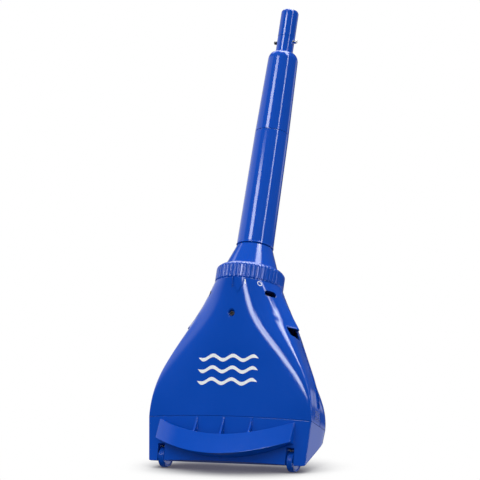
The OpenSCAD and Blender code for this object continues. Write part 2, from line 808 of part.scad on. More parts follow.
module screw(head_y, tip_y) {
    direction = tip_y > head_y ? -90 : 90;
    translate([0, head_y, 0]) rotate([direction, 0, 0]) difference() {
        union() {
            cylinder(r = screw_head_r, h = screw_head_h);
            cylinder(r = screw_r - 0.05, h = abs(tip_y - head_y));
        }
        for (a = [0, 90]) rotate([0, 0, a]) translate([-2.2, -0.5, -1]) cube([4.4, 1, 2.2]);
    }
}

module front_screw() color("silver") translate([0, 0, front_screw_z])
    screw(recess_y - screw_head_h - 0.05, -pump_r + 3);

module rear_screws() color("silver") at_both_sides() for (p = [upper_post, lower_post])
    translate([p.x, 0, p.y]) screw(rear_skin(p.x, p.y) - counterbore + screw_head_h + 0.1, -6);

front_shell();
rear_shell();
nose_cap();
wheel_left();
wheel_right();
axle_left();
axle_right();
bag_frame();
flap_pin();
intake_flap();
filter_bag();
pump_deck();
pump_housing();
impeller();
motor_shaft();
shaft_seal();
motor_mount();
motor();
motor_leads();
motor_housing();
reed_switch();
ring_magnet();
stop_pin();
power_ring();
battery_tube();
cell_sleeve();
cells();
bottom_contact();
cap_contact();
battery_cap();
cap_o_ring();
spring_clip();
snap_button_left();
snap_button_right();
latch_left();
latch_right();
front_screw();
rear_screws();
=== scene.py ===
import json
import math

import bmesh
import bpy
import numpy as np
from mathutils import Matrix, Vector


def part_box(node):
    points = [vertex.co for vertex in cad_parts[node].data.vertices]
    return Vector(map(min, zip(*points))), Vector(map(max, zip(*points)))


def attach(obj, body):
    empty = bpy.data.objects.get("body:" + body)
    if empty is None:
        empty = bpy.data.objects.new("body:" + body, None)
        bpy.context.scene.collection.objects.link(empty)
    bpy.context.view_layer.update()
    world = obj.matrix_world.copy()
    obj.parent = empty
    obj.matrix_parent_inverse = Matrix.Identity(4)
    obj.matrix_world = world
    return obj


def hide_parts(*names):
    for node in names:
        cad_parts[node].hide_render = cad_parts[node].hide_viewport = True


# Looks of the hand-held pool vacuum. Z runs up the tube, -Y is the front face, X is the width.
# Shapes are worked out in millimetres and turned into metres when a mesh is made.

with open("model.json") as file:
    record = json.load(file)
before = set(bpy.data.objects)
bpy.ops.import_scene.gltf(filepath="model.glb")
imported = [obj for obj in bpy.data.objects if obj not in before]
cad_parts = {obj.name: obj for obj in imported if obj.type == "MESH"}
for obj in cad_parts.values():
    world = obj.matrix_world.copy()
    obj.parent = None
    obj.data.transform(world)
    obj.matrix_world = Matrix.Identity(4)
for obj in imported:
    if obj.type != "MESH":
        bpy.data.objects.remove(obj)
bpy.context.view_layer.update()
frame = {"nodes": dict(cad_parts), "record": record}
MM = 0.001


# ---------------------------------------------------------------- sizes read from the frame

def low(node):
    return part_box(node)[0] / MM


def high(node):
    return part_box(node)[1] / MM


def middle(node):
    return (low(node) + high(node)) / 2


seam_gap = 0.4
wall = 3.0
z_seam = low("front_shell").z - seam_gap / 2
z_neck = high("rear_shell").z + seam_gap / 2
body_h = z_neck - z_seam
seam_half = high("rear_shell").x
seam_rear = high("rear_shell").y
ring_r = high("power_ring").x
ring_low = low("power_ring").z
ring_high = high("power_ring").z
neck_r = ring_r - 0.3
z_tube = low("battery_tube").z
z_cap = high("battery_tube").z
z_tip = high("battery_cap").z
spigot_r = frame["record"]["mounts"][0]["dims"]["r_mm"]
spigot_len = 75.0
shoulder_h = 14.0
z_shoulder = z_tip - spigot_len - shoulder_h
tube_r = high("battery_tube").x - 2.4
z_button = middle("snap_button_right").z
z_cone = ring_high

# lines of the head, the same curves as the CAD source draws
z_bend = z_seam + 82
z_full = z_seam + 137
flank_slope = (seam_half - neck_r) / (z_neck - z_bend + (z_bend - z_seam) / 2)
nose_draft = 0.088
nose_tuck = 0.18
seam_front = 19.0
front_lean = (neck_r - seam_front) / body_h
part_y = 4.0
bow = 17.0
front_corner = 22.0
rear_corner = 1.3
hood_lip = z_seam + 145
hood_root = (41.0, 0.0, 14.0)
hood_body = (55.0, 1.0, 32.6)
hood_tip = (91.0, 1.0, 6.0)
notch_x = 65.0
notch_rx = 44.0
notch_ry = 19.0


# ---------------------------------------------------------------- skin of the head

def ease(share):
    c = np.clip(share, 0, 1)
    return c * c * (3 - 2 * c)


def flare(z):
    return ease((z_neck - z) / (z_neck - z_full))


def half_w(z):
    bent = seam_half - flank_slope * (z - z_seam) ** 2 / (2 * (z_bend - z_seam))
    straight = neck_r + flank_slope * (z_neck - z)
    drafted = seam_half - nose_draft * (z_seam - z)
    return np.where(z < z_seam, drafted, np.where(z < z_bend, bent, straight))


def front_y(z):
    return -neck_r + front_lean * (z_neck - z)


def rear_y(z):
    return neck_r + (seam_rear - neck_r) * np.clip((z_neck - z) / body_h, 0, 1)


def drop(z):
    """0 at the neck, 1 from the nose seam downwards."""
    return np.clip((z_neck - z) / body_h, 0, 1)


def bow_at(z):
    return bow * drop(z)


def mid_y(z):
    return part_y * flare(z) + nose_tuck * np.maximum(0, z_seam - z)


def front_square(z):
    return 2 + front_corner * drop(z) ** 3.1


def rear_square(z):
    return 2 + rear_corner * flare(z) + 7 * ease((z_bend - 15 - z) / (z_bend - 15 - z_seam))


def skin(z, angle, inset=0.0):
    """Points of the skin at height z and the given angles, moved inwards by inset."""
    front = np.sin(angle) < -1e-9
    power = np.where(front, front_square(z), rear_square(z))
    across = np.cos(angle)
    along = np.sin(angle)
    reach = (np.abs(across) ** power + np.abs(along) ** power) ** (-1 / power)
    half = half_w(z) - inset
    front_depth = np.maximum(1, mid_y(z) - front_y(z) - bow_at(z) - inset)
    depth = np.where(front, front_depth, rear_y(z) - mid_y(z) - inset)
    x = half * reach * across
    swell = np.where(front, bow_at(z) * (1 - (x / half) ** 2), 0)
    y = mid_y(z) + depth * reach * along - swell
    return np.stack([x, y, np.full_like(x, z)], axis=1)


def front_skin(x, z):
    """Y of the front face at a place across the width."""
    share = np.abs(x) / half_w(z)
    power = front_square(z)
    depth = mid_y(z) - front_y(z) - bow_at(z)
    return mid_y(z) - depth * (1 - share ** power) ** (1 / power) - bow_at(z) * (1 - share * share)


def rear_skin(x, z):
    share = np.abs(x) / half_w(z)
    power = rear_square(z)
    return mid_y(z) + (rear_y(z) - mid_y(z)) * (1 - share ** power) ** (1 / power)


def soft_max(a, b, width):
    overlap = np.maximum(width - np.abs(a - b), 0) / width
    return np.maximum(a, b) + overlap * overlap * width / 4


def with_hood(points, z, inset=0.0, fillet=6.0):
    """Pushes a section of the skin out to the outlet hoods, with a soft fillet where they meet."""
    share = np.clip((z - hood_lip - 1.5) / (z_neck - 8 - hood_lip - 1.5), 0, 1)
    pivot_y = float(mid_y(z))
    length = np.hypot(points[:, 0], points[:, 1] - pivot_y)
    dx = np.abs(points[:, 0]) / length
    dy = (points[:, 1] - pivot_y) / length
    reach = np.zeros_like(length)
    for along in np.linspace(0, 1, 40):
        lip_disc = np.array(hood_body) * (1 - along) + np.array(hood_tip) * along
        centre_x, centre_y, radius = lip_disc * (1 - share) + np.array(hood_root) * share
        middle_way = dx * centre_x + dy * (centre_y - pivot_y)
        aside = centre_x ** 2 + (centre_y - pivot_y) ** 2 - middle_way ** 2
        inside = (radius - inset) ** 2 - aside
        reach = np.maximum(reach, np.where(inside > 0, middle_way + np.sqrt(np.maximum(inside, 0)), 0))
    sharp_at_lip = 0.3 + (fillet - 0.3) * ease(share * 4)
    grown = soft_max(length, reach, sharp_at_lip)
    out = points.copy()
    out[:, 0] *= grown / length
    out[:, 1] = pivot_y + dy * grown
    return out


# ---------------------------------------------------------------- mesh helpers

def make_object(name, vertices, faces):
    """An object from points in millimetres."""
    mesh = bpy.data.meshes.new(name)
    mesh.from_pydata((np.asarray(vertices, float) * MM).tolist(), [], faces)
    piece = bpy.data.objects.new(name, mesh)
    bpy.context.scene.collection.objects.link(piece)
    return piece


def strips(rows, columns, wrap):
    """Quads between rows of points; wrap joins the last column to the first."""
    quads = []
    for row in range(rows - 1):
        for column in range(columns if wrap else columns - 1):
            a = row * columns + column
            b = row * columns + (column + 1) % columns
            quads.append((a, b, b + columns, a + columns))
    return quads


def loft(name, rings):
    """Closed solid through rings of points, its ends closed by fans."""
    count = len(rings[0])
    vertices = np.concatenate(list(rings) + [[rings[0].mean(axis=0)], [rings[-1].mean(axis=0)]])
    faces = strips(len(rings), count, True)
    top = (len(rings) - 1) * count
    for i in range(count):
        after = (i + 1) % count
        faces.append((after, i, len(vertices) - 2))
        faces.append((top + i, top + after, len(vertices) - 1))
    return make_object(name, vertices, faces)


def circle_ring(radius, z, steps):
    angle = np.linspace(0, 2 * math.pi, steps, endpoint=False)
    return np.stack([radius * np.cos(angle), radius * np.sin(angle), np.full(steps, z)], axis=1)


def lathe(name, profile, steps=144):
    """Solid of revolution about Z from (radius, z) points that run from bottom to top."""
    return loft(name, [circle_ring(max(r, 0.01), z, steps) for r, z in profile])


def lathe_loop(name, profile, steps=144):
    """Hollow body of revolution from a closed loop of (radius, z) points."""
    rings = [circle_ring(r, z, steps) for r, z in profile]
    vertices = np.concatenate(rings)
    count = len(rings)
    faces = []
    for row in range(count):
        for i in range(steps):
            after = (i + 1) % steps
            next_row = (row + 1) % count
            faces.append((row * steps + i, row * steps + after, next_row * steps + after, next_row * steps + i))
    return make_object(name, vertices, faces)


def rounded(points, radii, steps=5, closed=True):
    """Corners of an outline rounded by the given radii."""
    count = len(points)
    if not isinstance(radii, (list, tuple)):
        radii = [radii] * count
    out = []
    for i, radius in enumerate(radii):
        here = Vector(points[i])
        if radius == 0 or (not closed and i in (0, count - 1)):
            out.append(tuple(here))
            continue
        before = (Vector(points[i - 1]) - here)
        after = (Vector(points[(i + 1) % count]) - here)
        reach = min(radius, before.length / 2.01, after.length / 2.01)
        start = here + before.normalized() * reach
        end = here + after.normalized() * reach
        for k in range(steps + 1):
            t = k / steps
            out.append(tuple(start * (1 - t) ** 2 + here * 2 * t * (1 - t) + end * t ** 2))
    return out


AXES = {"x": (1, 2, 0), "y": (0, 2, 1), "z": (0, 1, 2)}


def prism(name, outline, start, end, axis):
    """Outline pushed along an axis. Its two coordinates are the other axes in order."""
    first, second, along = AXES[axis]
    rings = []
    for place in (start, end):
        ring = np.zeros((len(outline), 3))
        ring[:, first] = [p[0] for p in outline]
        ring[:, second] = [p[1] for p in outline]
        ring[:, along] = place
        rings.append(ring)
    count = len(outline)
    faces = strips(2, count, True)
    faces.append(tuple(range(count - 1, -1, -1)))
    faces.append(tuple(range(count, 2 * count)))
    return make_object(name, np.concatenate(rings), faces)


def box(name, corner, size):
    outline = [(corner[0], corner[1]), (corner[0] + size[0], corner[1]),
               (corner[0] + size[0], corner[1] + size[1]), (corner[0], corner[1] + size[1])]
    return prism(name, outline, corner[2], corner[2] + size[2], "z")


def rod(name, centre, radius, start, end, axis, steps=64):
    """Round bar along an axis; centre holds its place on the other two axes."""
    angle = np.linspace(0, 2 * math.pi, steps, endpoint=False)
    outline = [(centre[0] + radius * math.cos(a), centre[1] + radius * math.sin(a)) for a in angle]
    return prism(name, outline, start, end, axis)


def turn_outwards(piece):
    mesh = bmesh.new()
    mesh.from_mesh(piece.data)
    bmesh.ops.recalc_face_normals(mesh, faces=mesh.faces)
    mesh.to_mesh(piece.data)
    mesh.free()


def apply_modifiers(piece):
    depsgraph = bpy.context.evaluated_depsgraph_get()
    mesh = bpy.data.meshes.new_from_object(piece.evaluated_get(depsgraph))
    piece.modifiers.clear()
    piece.data = mesh


def combine(piece, tools, operation):
    for tool in tools:
        turn_outwards(tool)
        modifier = piece.modifiers.new("combine", "BOOLEAN")
        modifier.object = tool
        modifier.operation = operation
        modifier.solver = "MANIFOLD"
        apply_modifiers(piece)
        bpy.data.objects.remove(tool)
    return piece


def cut(piece, *tools):
    return combine(piece, tools, "DIFFERENCE")


def join(piece, *tools):
    return combine(piece, tools, "UNION")


def keep_common(piece, *tools):
    return combine(piece, tools, "INTERSECT")


def transformed(piece, matrix):
    """Applies a matrix given in millimetres."""
    shift = matrix.translation * MM
    scaled = matrix.to_3x3().to_4x4()
    scaled.translation = shift
    piece.data.transform(scaled)
    if matrix.to_3x3().determinant() < 0:
        turn_outwards(piece)
    return piece


def mirrored(piece):
    return transformed(piece, Matrix.Scale(-1, 4, (1, 0, 0)))


def both_sides(builder):
    """Calls builder twice and mirrors the second piece."""
    return [builder(), mirrored(builder())]


def smooth(piece, angle=35):
    for polygon in piece.data.polygons:
        polygon.use_smooth = True
    split = piece.modifiers.new("edges", "EDGE_SPLIT")
    split.split_angle = math.radians(angle)
    return piece


def finish_piece(piece, material, body, nodes=(), angle=35):
    """Smooths a new piece, paints it, hangs it on its body and hides the CAD nodes it stands for."""
    turn_outwards(piece)
    smooth(piece, angle)
    piece.data.materials.clear()
    piece.data.materials.append(material)
    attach(piece, body)
    if nodes:
        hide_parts(*nodes)
    return piece


# ---------------------------------------------------------------- materials

class Shader:
    """A node material under construction."""

    def __init__(self, name, kind="ShaderNodeBsdfPrincipled"):
        self.material = bpy.data.materials.new(name)
        self.material.use_nodes = True
        self.tree = self.material.node_tree
        self.tree.nodes.clear()
        self.output = self.add("ShaderNodeOutputMaterial")
        self.main = self.add(kind)
        self.link(self.main.outputs[0], self.output.inputs["Surface"])

    def add(self, kind, **settings):
        node = self.tree.nodes.new(kind)
        for key, value in settings.items():
            if key in node.inputs:
                node.inputs[key].default_value = value
            else:
                setattr(node, key, value)
        return node

    def link(self, source, target):
        self.tree.links.new(source, target)

    def set(self, **values):
        for key, value in values.items():
            self.main.inputs[key.replace("_", " ")].default_value = value

    def place(self):
        return self.add("ShaderNodeTexCoord").outputs["Object"]

    def noise(self, scale, detail=3.0, stretch=(1, 1, 1), roughness=0.5):
        """Noise over the object's own coordinates, scale in features per metre."""
        mapping = self.add("ShaderNodeMapping")
        mapping.inputs["Scale"].default_value = stretch
        self.link(self.place(), mapping.inputs["Vector"])
        noise = self.add("ShaderNodeTexNoise")
        noise.inputs["Scale"].default_value = scale
        noise.inputs["Detail"].default_value = detail
        noise.inputs["Roughness"].default_value = roughness
        self.link(mapping.outputs[0], noise.inputs["Vector"])
        return noise.outputs["Fac"]

    def span(self, source, low_value, high_value, from_low=0.3, from_high=0.7):
        """Maps a texture's range onto a range of values."""
        node = self.add("ShaderNodeMapRange")
        node.inputs["From Min"].default_value = from_low
        node.inputs["From Max"].default_value = from_high
        node.inputs["To Min"].default_value = low_value
        node.inputs["To Max"].default_value = high_value
        self.link(source, node.inputs["Value"])
        return node.outputs[0]

    def blend(self, factor, first, second):
        node = self.add("ShaderNodeMix", data_type="RGBA")
        for socket in node.inputs:
            if socket.type == "RGBA":
                socket.default_value = (*(first if socket.name == "A" else second), 1)
        self.link(factor, node.inputs["Factor"])
        return next(socket for socket in node.outputs if socket.type == "RGBA")

    def relief(self, heights, edge=0.0):
        """Bump from (source, distance in metres, strength) over an edge rounding of the given radius."""
        normal = None
        if edge:
            bevel = self.add("ShaderNodeBevel", samples=6)
            bevel.inputs["Radius"].default_value = edge
            normal = bevel.outputs[0]
        for source, distance, strength in heights:
            bump = self.add("ShaderNodeBump")
            bump.inputs["Distance"].default_value = distance
            bump.inputs["Strength"].default_value = strength
            self.link(source, bump.inputs["Height"])
            if normal:
                self.link(normal, bump.inputs["Normal"])
            normal = bump.outputs[0]
        self.link(normal, self.main.inputs["Normal"])


def blue_plastic():
    """Polished moulded plastic with faint flow marks, handling haze and fine scratches."""
    shader = Shader("blue_plastic")
    haze = shader.noise(9, 4)
    scratches = shader.noise(260, 2, stretch=(1, 1, 0.04), roughness=0.7)
    waviness = shader.noise(38, 1)
    grain = shader.noise(1800, 1)
    tint = shader.blend(shader.span(haze, 0, 1), (0.0009, 0.060, 0.42), (0.0016, 0.068, 0.47))
    shader.link(tint, shader.main.inputs["Base Color"])
    total = shader.add("ShaderNodeMath", operation="ADD")
    shader.link(shader.span(haze, 0.05, 0.12), total.inputs[0])
    shader.link(shader.span(scratches, 0.0, 0.05, 0.45, 0.8), total.inputs[1])
    shader.link(total.outputs[0], shader.main.inputs["Roughness"])
    shader.set(IOR=1.5, Coat_Weight=0.15, Coat_Roughness=0.05)
    shader.relief([(waviness, 0.0006, 0.05), (grain, 0.00002, 0.1)], edge=0.0013)
    return shader.material


def steel(name, colour, roughness, edge=0.0002):
    """Drawn or turned metal with fine marks around its length."""
    shader = Shader(name)
    marks = shader.noise(900, 2, stretch=(1, 1, 0.08))
    stains = shader.noise(60, 3)
    darker = tuple(value * 0.82 for value in colour)
    shader.link(shader.blend(shader.span(stains, 0, 1), darker, colour), shader.main.inputs["Base Color"])
    shader.link(shader.span(marks, roughness - 0.07, roughness + 0.1), shader.main.inputs["Roughness"])
    shader.set(Metallic=1.0, Anisotropic=0.4)
    shader.relief([(marks, 0.00003, 0.25)], edge=edge)
    return shader.material


def matte_plastic(name, colour, roughness=0.5):
    """Plastic with a fine spark-eroded texture."""
    shader = Shader(name)
    grain = shader.noise(1400, 2)
    cloud = shader.noise(40, 3)
    lighter = tuple(value * 1.25 + 0.004 for value in colour)
    shader.link(shader.blend(shader.span(cloud, 0, 1), colour, lighter), shader.main.inputs["Base Color"])
    shader.link(shader.span(grain, roughness - 0.08, roughness + 0.1), shader.main.inputs["Roughness"])
    shader.relief([(grain, 0.00008, 0.35)], edge=0.0004)
    return shader.material


def rubber():
    """Soft black elastomer with a dusty bloom."""
    shader = Shader("rubber")
    bloom = shader.noise(70, 4)
    pores = shader.noise(2200, 1)
    shader.link(shader.blend(shader.span(bloom, 0, 1), (0.012, 0.012, 0.014), (0.035, 0.035, 0.04)),
                shader.main.inputs["Base Color"])
    shader.link(shader.span(bloom, 0.62, 0.8), shader.main.inputs["Roughness"])
    shader.set(Sheen_Weight=0.15)
    shader.relief([(pores, 0.00005, 0.4)], edge=0.0003)
    return shader.material


def bag_fabric():
    """Filter cloth: plain weave, slightly see-through in tone, with soft stains."""
    shader = Shader("bag_fabric")
    threads = []
    for direction in ("X", "Z"):
        wave = shader.add("ShaderNodeTexWave", bands_direction=direction)
        wave.inputs["Scale"].default_value = 320
        wave.inputs["Distortion"].default_value = 0.6
        shader.link(shader.place(), wave.inputs["Vector"])
        threads.append(wave.outputs["Fac"])
    weave = shader.add("ShaderNodeMath", operation="MULTIPLY")
    shader.link(threads[0], weave.inputs[0])
    shader.link(threads[1], weave.inputs[1])
    stains = shader.noise(22, 4)
    shader.link(shader.blend(shader.span(stains, 0, 1), (0.72, 0.73, 0.70), (0.88, 0.89, 0.87)),
                shader.main.inputs["Base Color"])
    shader.set(Roughness=0.85, Sheen_Weight=0.5, Sheen_Roughness=0.4, Subsurface_Weight=0.05)
    shader.relief([(weave.outputs[0], 0.0004, 0.8), (stains, 0.0008, 0.2)])
    return shader.material


def cell_jacket():
    """Metal cell jacket: two plain colour bands that repeat with each cell."""
    shader = Shader("cell_jacket")
    split = shader.add("ShaderNodeSeparateXYZ")
    shader.link(shader.place(), split.inputs[0])
    cell_len = (high("cells").z - low("cells").z) / 4 * MM
    repeat = shader.add("ShaderNodeMath", operation="WRAP")
    shader.link(split.outputs["Z"], repeat.inputs[0])
    repeat.inputs[1].default_value = low("cells").z * MM + cell_len
    repeat.inputs[2].default_value = low("cells").z * MM
    step = shader.add("ShaderNodeMath", operation="GREATER_THAN")
    shader.link(repeat.outputs[0], step.inputs[0])
    step.inputs[1].default_value = low("cells").z * MM + cell_len * 0.3
    shader.link(shader.blend(step.outputs[0], (0.55, 0.56, 0.58), (0.03, 0.16, 0.10)), shader.main.inputs["Base Color"])
    wear = shader.noise(120, 3)
    shader.link(shader.span(wear, 0.22, 0.38), shader.main.inputs["Roughness"])
    shader.set(Metallic=0.7)
    shader.relief([(wear, 0.00004, 0.3)], edge=0.0004)
    return shader.material


def white_print():
    """Pad-printed ink, thin and slightly chalky."""
    shader = Shader("white_print")
    speckle = shader.noise(700, 3)
    shader.link(shader.blend(shader.span(speckle, 0, 1), (0.74, 0.78, 0.80), (0.90, 0.92, 0.93)),
                shader.main.inputs["Base Color"])
    shader.link(shader.span(speckle, 0.3, 0.5), shader.main.inputs["Roughness"])
    shader.relief([(speckle, 0.00002, 0.3)])
    return shader.material


MATERIALS = {
    "blue_plastic": blue_plastic(),
    "steel": steel("steel", (0.62, 0.62, 0.63), 0.3),
    "button_steel": steel("button_steel", (0.86, 0.87, 0.88), 0.16),
    # near-black steel: painted shade for the front screw deep in its recess
    "recess_shade_steel": steel("recess_shade_steel", (0.05, 0.05, 0.055), 0.4),
    "grey_plastic": matte_plastic("grey_plastic", (0.10, 0.105, 0.115)),
    "rubber": rubber(),
    "bag_fabric": bag_fabric(),
    "black_plastic": matte_plastic("black_plastic", (0.015, 0.015, 0.018), 0.42),
    "motor_can": steel("motor_can", (0.50, 0.50, 0.52), 0.34),
    "lead_wire": matte_plastic("lead_wire", (0.45, 0.02, 0.015), 0.4),
    "sensor": matte_plastic("sensor", (0.50, 0.36, 0.10), 0.35),
    "cell_jacket": cell_jacket(),
    "contact_brass": steel("contact_brass", (0.80, 0.58, 0.24), 0.26),
}
BLUE = MATERIALS["blue_plastic"]
WHITE = white_print()


def dress_cad_nodes():
    """Every CAD node gets its slot's material and smooth shading, except the front screw, whose steel is painted near
    black as shade for its recess; the rebuilt ones are hidden later.
    """
    for part in frame["record"]["subparts"]:
        node = frame["nodes"][part["node"]]
        node.data.materials.clear()
        # the front screw's steel is painted near black, standing for the shade inside its recess
        slot = "recess_shade_steel" if part["node"] == "front_screw" else part["material_slot"]
        node.data.materials.append(MATERIALS[slot])
        node.modifiers.new("weld", "WELD").merge_threshold = 0.00001
        smooth(node)


# ---------------------------------------------------------------- head shells

FRONT = (math.pi, 2 * math.pi)
REAR = (0, math.pi)
FULL_TURN = (0, 2 * math.pi)


def head_levels(bottom, top, count):
    """Heights of the sections, with a pair at the hood lip so that it has a sharp edge."""
    heights = list(np.linspace(bottom, hood_lip, count // 2)) + list(np.linspace(hood_lip, top, count // 2))
    return heights, count // 2


def index_pad(points, z):
    """Raises a leaf-shaped pad and a thin rib on the front skin, just under the ring."""
    angle = np.degrees(np.arctan2(points[:, 0], -points[:, 1]))
    below = z_neck - z
    half_wide = np.interp(below, [0, 12, 26], [9.5, 8.0, 0.0])
    pad = ease((half_wide - np.abs(angle - 9.0)) / 1.6) * (below < 26)
    rib = ease((1.1 - np.abs(angle + 1.6)) / 0.5) * ease((16 - below) / 1.5)
    lift = np.maximum(pad * 1.0, rib * 1.6) * (points[:, 1] < 0)
    radius = np.hypot(points[:, 0], points[:, 1])
    out = points.copy()
    out[:, :2] *= ((radius + lift) / radius)[:, None]
    return out


def shell_half(name, span, steps, inset=0.0, bottom=None, top=None, shift=0.0):
    """Closed solid between two angles of the skin, hoods included."""
    bottom = z_seam + seam_gap / 2 if bottom is None else bottom
    top = z_neck - seam_gap / 2 if top is None else top
    heights, lip_index = head_levels(bottom, top, 150)
    closed = span == FULL_TURN
    angle = np.linspace(span[0], span[1], steps, endpoint=not closed)
    rings = []
    for i, z in enumerate(heights):
        ring = skin(z, angle, inset)
        if i >= lip_index:
            ring = with_hood(ring, z, inset)
        if span == FRONT and inset == 0:
            ring = index_pad(ring, z)
        ring[:, 1] += shift
        rings.append(ring)
    return loft(name, rings)


def hollow():
    return shell_half("hollow", FULL_TURN, 240, wall, z_seam - 1, z_neck + 1)


def outlet_notch():
    """Opening under the lip of a hood; its floor is a shoulder that slopes outwards."""
    angle = np.linspace(0, 2 * math.pi, 96, endpoint=False)
    plan = [(notch_x + notch_rx * math.cos(a), 1 + notch_ry * math.sin(a)) for a in angle]
    tool = prism("notch", plan, hood_lip - 20, hood_lip + 1, "z")
    shoulder = [(76, hood_lip + 0.1), (140, hood_lip + 0.1), (140, hood_lip - 14),
                (98, hood_lip - 14), (88, hood_lip - 11), (76, hood_lip - 9.5)]
    return keep_common(tool, prism("shoulder", rounded(shoulder, [0, 0, 0, 4, 2, 0]), -60, 60, "y"))


def front_vent():
    """Oval hole through the front skin, beside the neck."""
    angle = np.linspace(0, 2 * math.pi, 48, endpoint=False)
    outline = [(math.copysign(5.5, math.cos(a)) + 4.5 * math.cos(a), 4.5 * math.sin(a)) for a in angle]
    tool = prism("vent", outline, 45, 85, "x")
    turn = Matrix.Rotation(math.radians(-26), 4, "Z")
    return transformed(tool, Matrix.Translation((0, 0, 262.5)) @ turn)


POSTS = ((86, 184.4), (115, 108.7))
post_r = 5.0
screw_r = 1.9
screw_head_r = 3.6
counterbore = 13.0
recess_r = 5.4
recess_y = low("front_screw").y + 2.45
front_screw_z = middle("front_screw").z


def recess_chamfer():
    """Cone that breaks the edge of the screw recess."""
    face = -float(front_skin(0, front_screw_z))
    cone = lathe("chamfer", [(recess_r - 1.5, face - 2.2), (recess_r + 2.2, face + 1.5)], 64)
    lie_down = Matrix.Rotation(math.pi / 2, 4, "X")
    return transformed(cone, Matrix.Translation((0, 0, front_screw_z)) @ lie_down)


def build_front_shell():
    shell = shell_half("front_shell_skin", FRONT, 260)
    turn_outwards(shell)
    cut(shell, hollow())
    for side in (-1, 1):
        for x, z in POSTS:
            join(shell, rod("post", (side * x, z), post_r, float(front_skin(x + post_r, z)) + 1, 3.5, "y"))
            cut(shell, rod("bore", (side * x, z), screw_r, -8, 8, "y"))
    cut(shell, *both_sides(outlet_notch))
    cut(shell, *both_sides(front_vent))
    join(shell, rod("boss", (0, front_screw_z), recess_r + 1.6, recess_y - 2, recess_y + 1.6, "y"))
    cut(shell, rod("screw_bore", (0, front_screw_z), screw_r + 0.2, -60, -20, "y"))
    cut(shell, rod("screw_recess", (0, front_screw_z), recess_r, -60, recess_y, "y"))
    cut(shell, recess_chamfer())
    finish_piece(shell, BLUE, "head", ("front_shell",))


# the side channel runs down each flank to the latch
channel_depth = 2.6
latch_top = z_seam + 26
latch_front = 6.0
latch_rear = 30.0


def flank_band(name, outer, inner, y0, y1, steps=60):
    heights = np.linspace(z_seam - 2, z_bend + 50, steps)
    outline = [(float(half_w(z)) - outer, z) for z in heights]
    outline += [(float(half_w(z)) - inner, z) for z in heights[::-1]]
    return prism(name, outline, y0, y1, "y")


def channel_wedge(grow):
    outline = [
        (latch_front - grow, z_seam - 2),
        (latch_rear + 1 + grow, z_seam - 2),
        (latch_rear - 3 + grow, latch_top + 2),
        (20 + grow, z_bend + 42 + grow),
        (15 - grow, z_bend + 42 + grow),
    ]
    return prism("wedge", rounded(outline, [0, 0, 8, 2, 2]), 0, seam_half + 20, "x")


def channel_cut():
    return keep_common(flank_band("channel", -20, channel_depth, latch_front, 40), channel_wedge(0))


def channel_floor():
    inner_y = float(mid_y(z_seam)) + 0.2
    floor = keep_common(flank_band("floor", channel_depth, channel_depth + wall, inner_y, 44), channel_wedge(2.5))
    return keep_common(floor, box("above_seam", (0, 0, z_seam + seam_gap / 2), (200, 100, body_h)))


def latch_window():
    return box("window", (seam_half - 22, latch_front, z_seam - 2),
               (30, latch_rear - latch_front, latch_top - z_seam + 2))


def build_rear_shell():
    shell = shell_half("rear_shell_skin", REAR, 260, shift=0.15)
    turn_outwards(shell)
    cut(shell, hollow())
    cut(shell, *both_sides(channel_cut))
    join(shell, *both_sides(channel_floor))
    for side in (-1, 1):
        for x, z in POSTS:
            back = float(rear_skin(x, z))
            inner = float(rear_skin(x + post_r, z)) - 1
            join(shell, rod("post", (side * x, z), post_r, float(mid_y(z)) + 0.3, inner, "y"))
            cut(shell, rod("bore", (side * x, z), screw_r + 0.2, 0, 80, "y"))
            cut(shell, rod("counterbore", (side * x, z), screw_head_r + 0.3, back - counterbore, 80, "y"))
    cut(shell, *both_sides(outlet_notch))
    cut(shell, *both_sides(latch_window))
    finish_piece(shell, BLUE, "head", ("rear_shell",))


# ---------------------------------------------------------------- nose

nose_deck_z = z_seam - 10
port_half = 45.0
port_front = 9.0
port_rear = 37.0
mouth_y = 8.0
mouth_slope = 46.0
wheel_x = middle("wheel_right").x
wheel_y = middle("wheel_right").y
wheel_z = middle("wheel_right").z
wheel_r = (high("wheel_right").y - low("wheel_right").y) / 2
wheel_w = high("wheel_right").x - low("wheel_right").x
slot_side = 0.7
band_half = 116.0
band_h = 32.0
band_rise = 26.5
band_low = 5.0
band_out = 15.0
band_t = 3.4
web_step = 47.0
web_t = 3.0


def nose_loft(name, bottom, top, inset, count=24):
    angle = np.linspace(0, 2 * math.pi, 400, endpoint=False)
    return loft(name, [skin(z, angle, inset) for z in np.linspace(bottom, top, count)])


def wheel_slot(grow, bottom):
    """Builder of the room around a wheel, grown by a wall for the housing."""
    def builder():
        width = wheel_w + 2 * slot_side + 2 * grow
        depth = wheel_y + wheel_r + 16 + grow
        height = wheel_z + wheel_r + 1 + grow - bottom
        return box("slot", (wheel_x - width / 2, -14, bottom), (width, depth, height))
    return builder


def band_smile(x):
    return band_rise * (x / band_half) ** 2


def band_stand(x):
    return float(front_y(36)) + bow * (x / seam_half) ** 2 - band_out + 4 * (x / band_half) ** 6


def band_plan(shrink):
    across = np.linspace(-band_half, band_half, 97)
    front = [(x * (band_half - shrink) / band_half, band_stand(x) + shrink) for x in across]
    return front + [(band_half - shrink, 20), (shrink - band_half, 20)]


def band_face(lift=0.0):
    across = np.linspace(-band_half, band_half, 91)
    lower = [(x, band_low + band_smile(x) + lift) for x in across]
    upper = [(-x, band_low + band_h + band_smile(x) + lift) for x in across]
    return rounded(lower + upper, [4] + [0] * (len(across) - 2) + [4, 4] + [0] * (len(across) - 2) + [4])


def leaning(piece):
    tilt = Matrix.Rotation(-math.atan(front_lean), 4, "X")
    return transformed(piece, Matrix.Translation((0, 0, 36)) @ tilt)


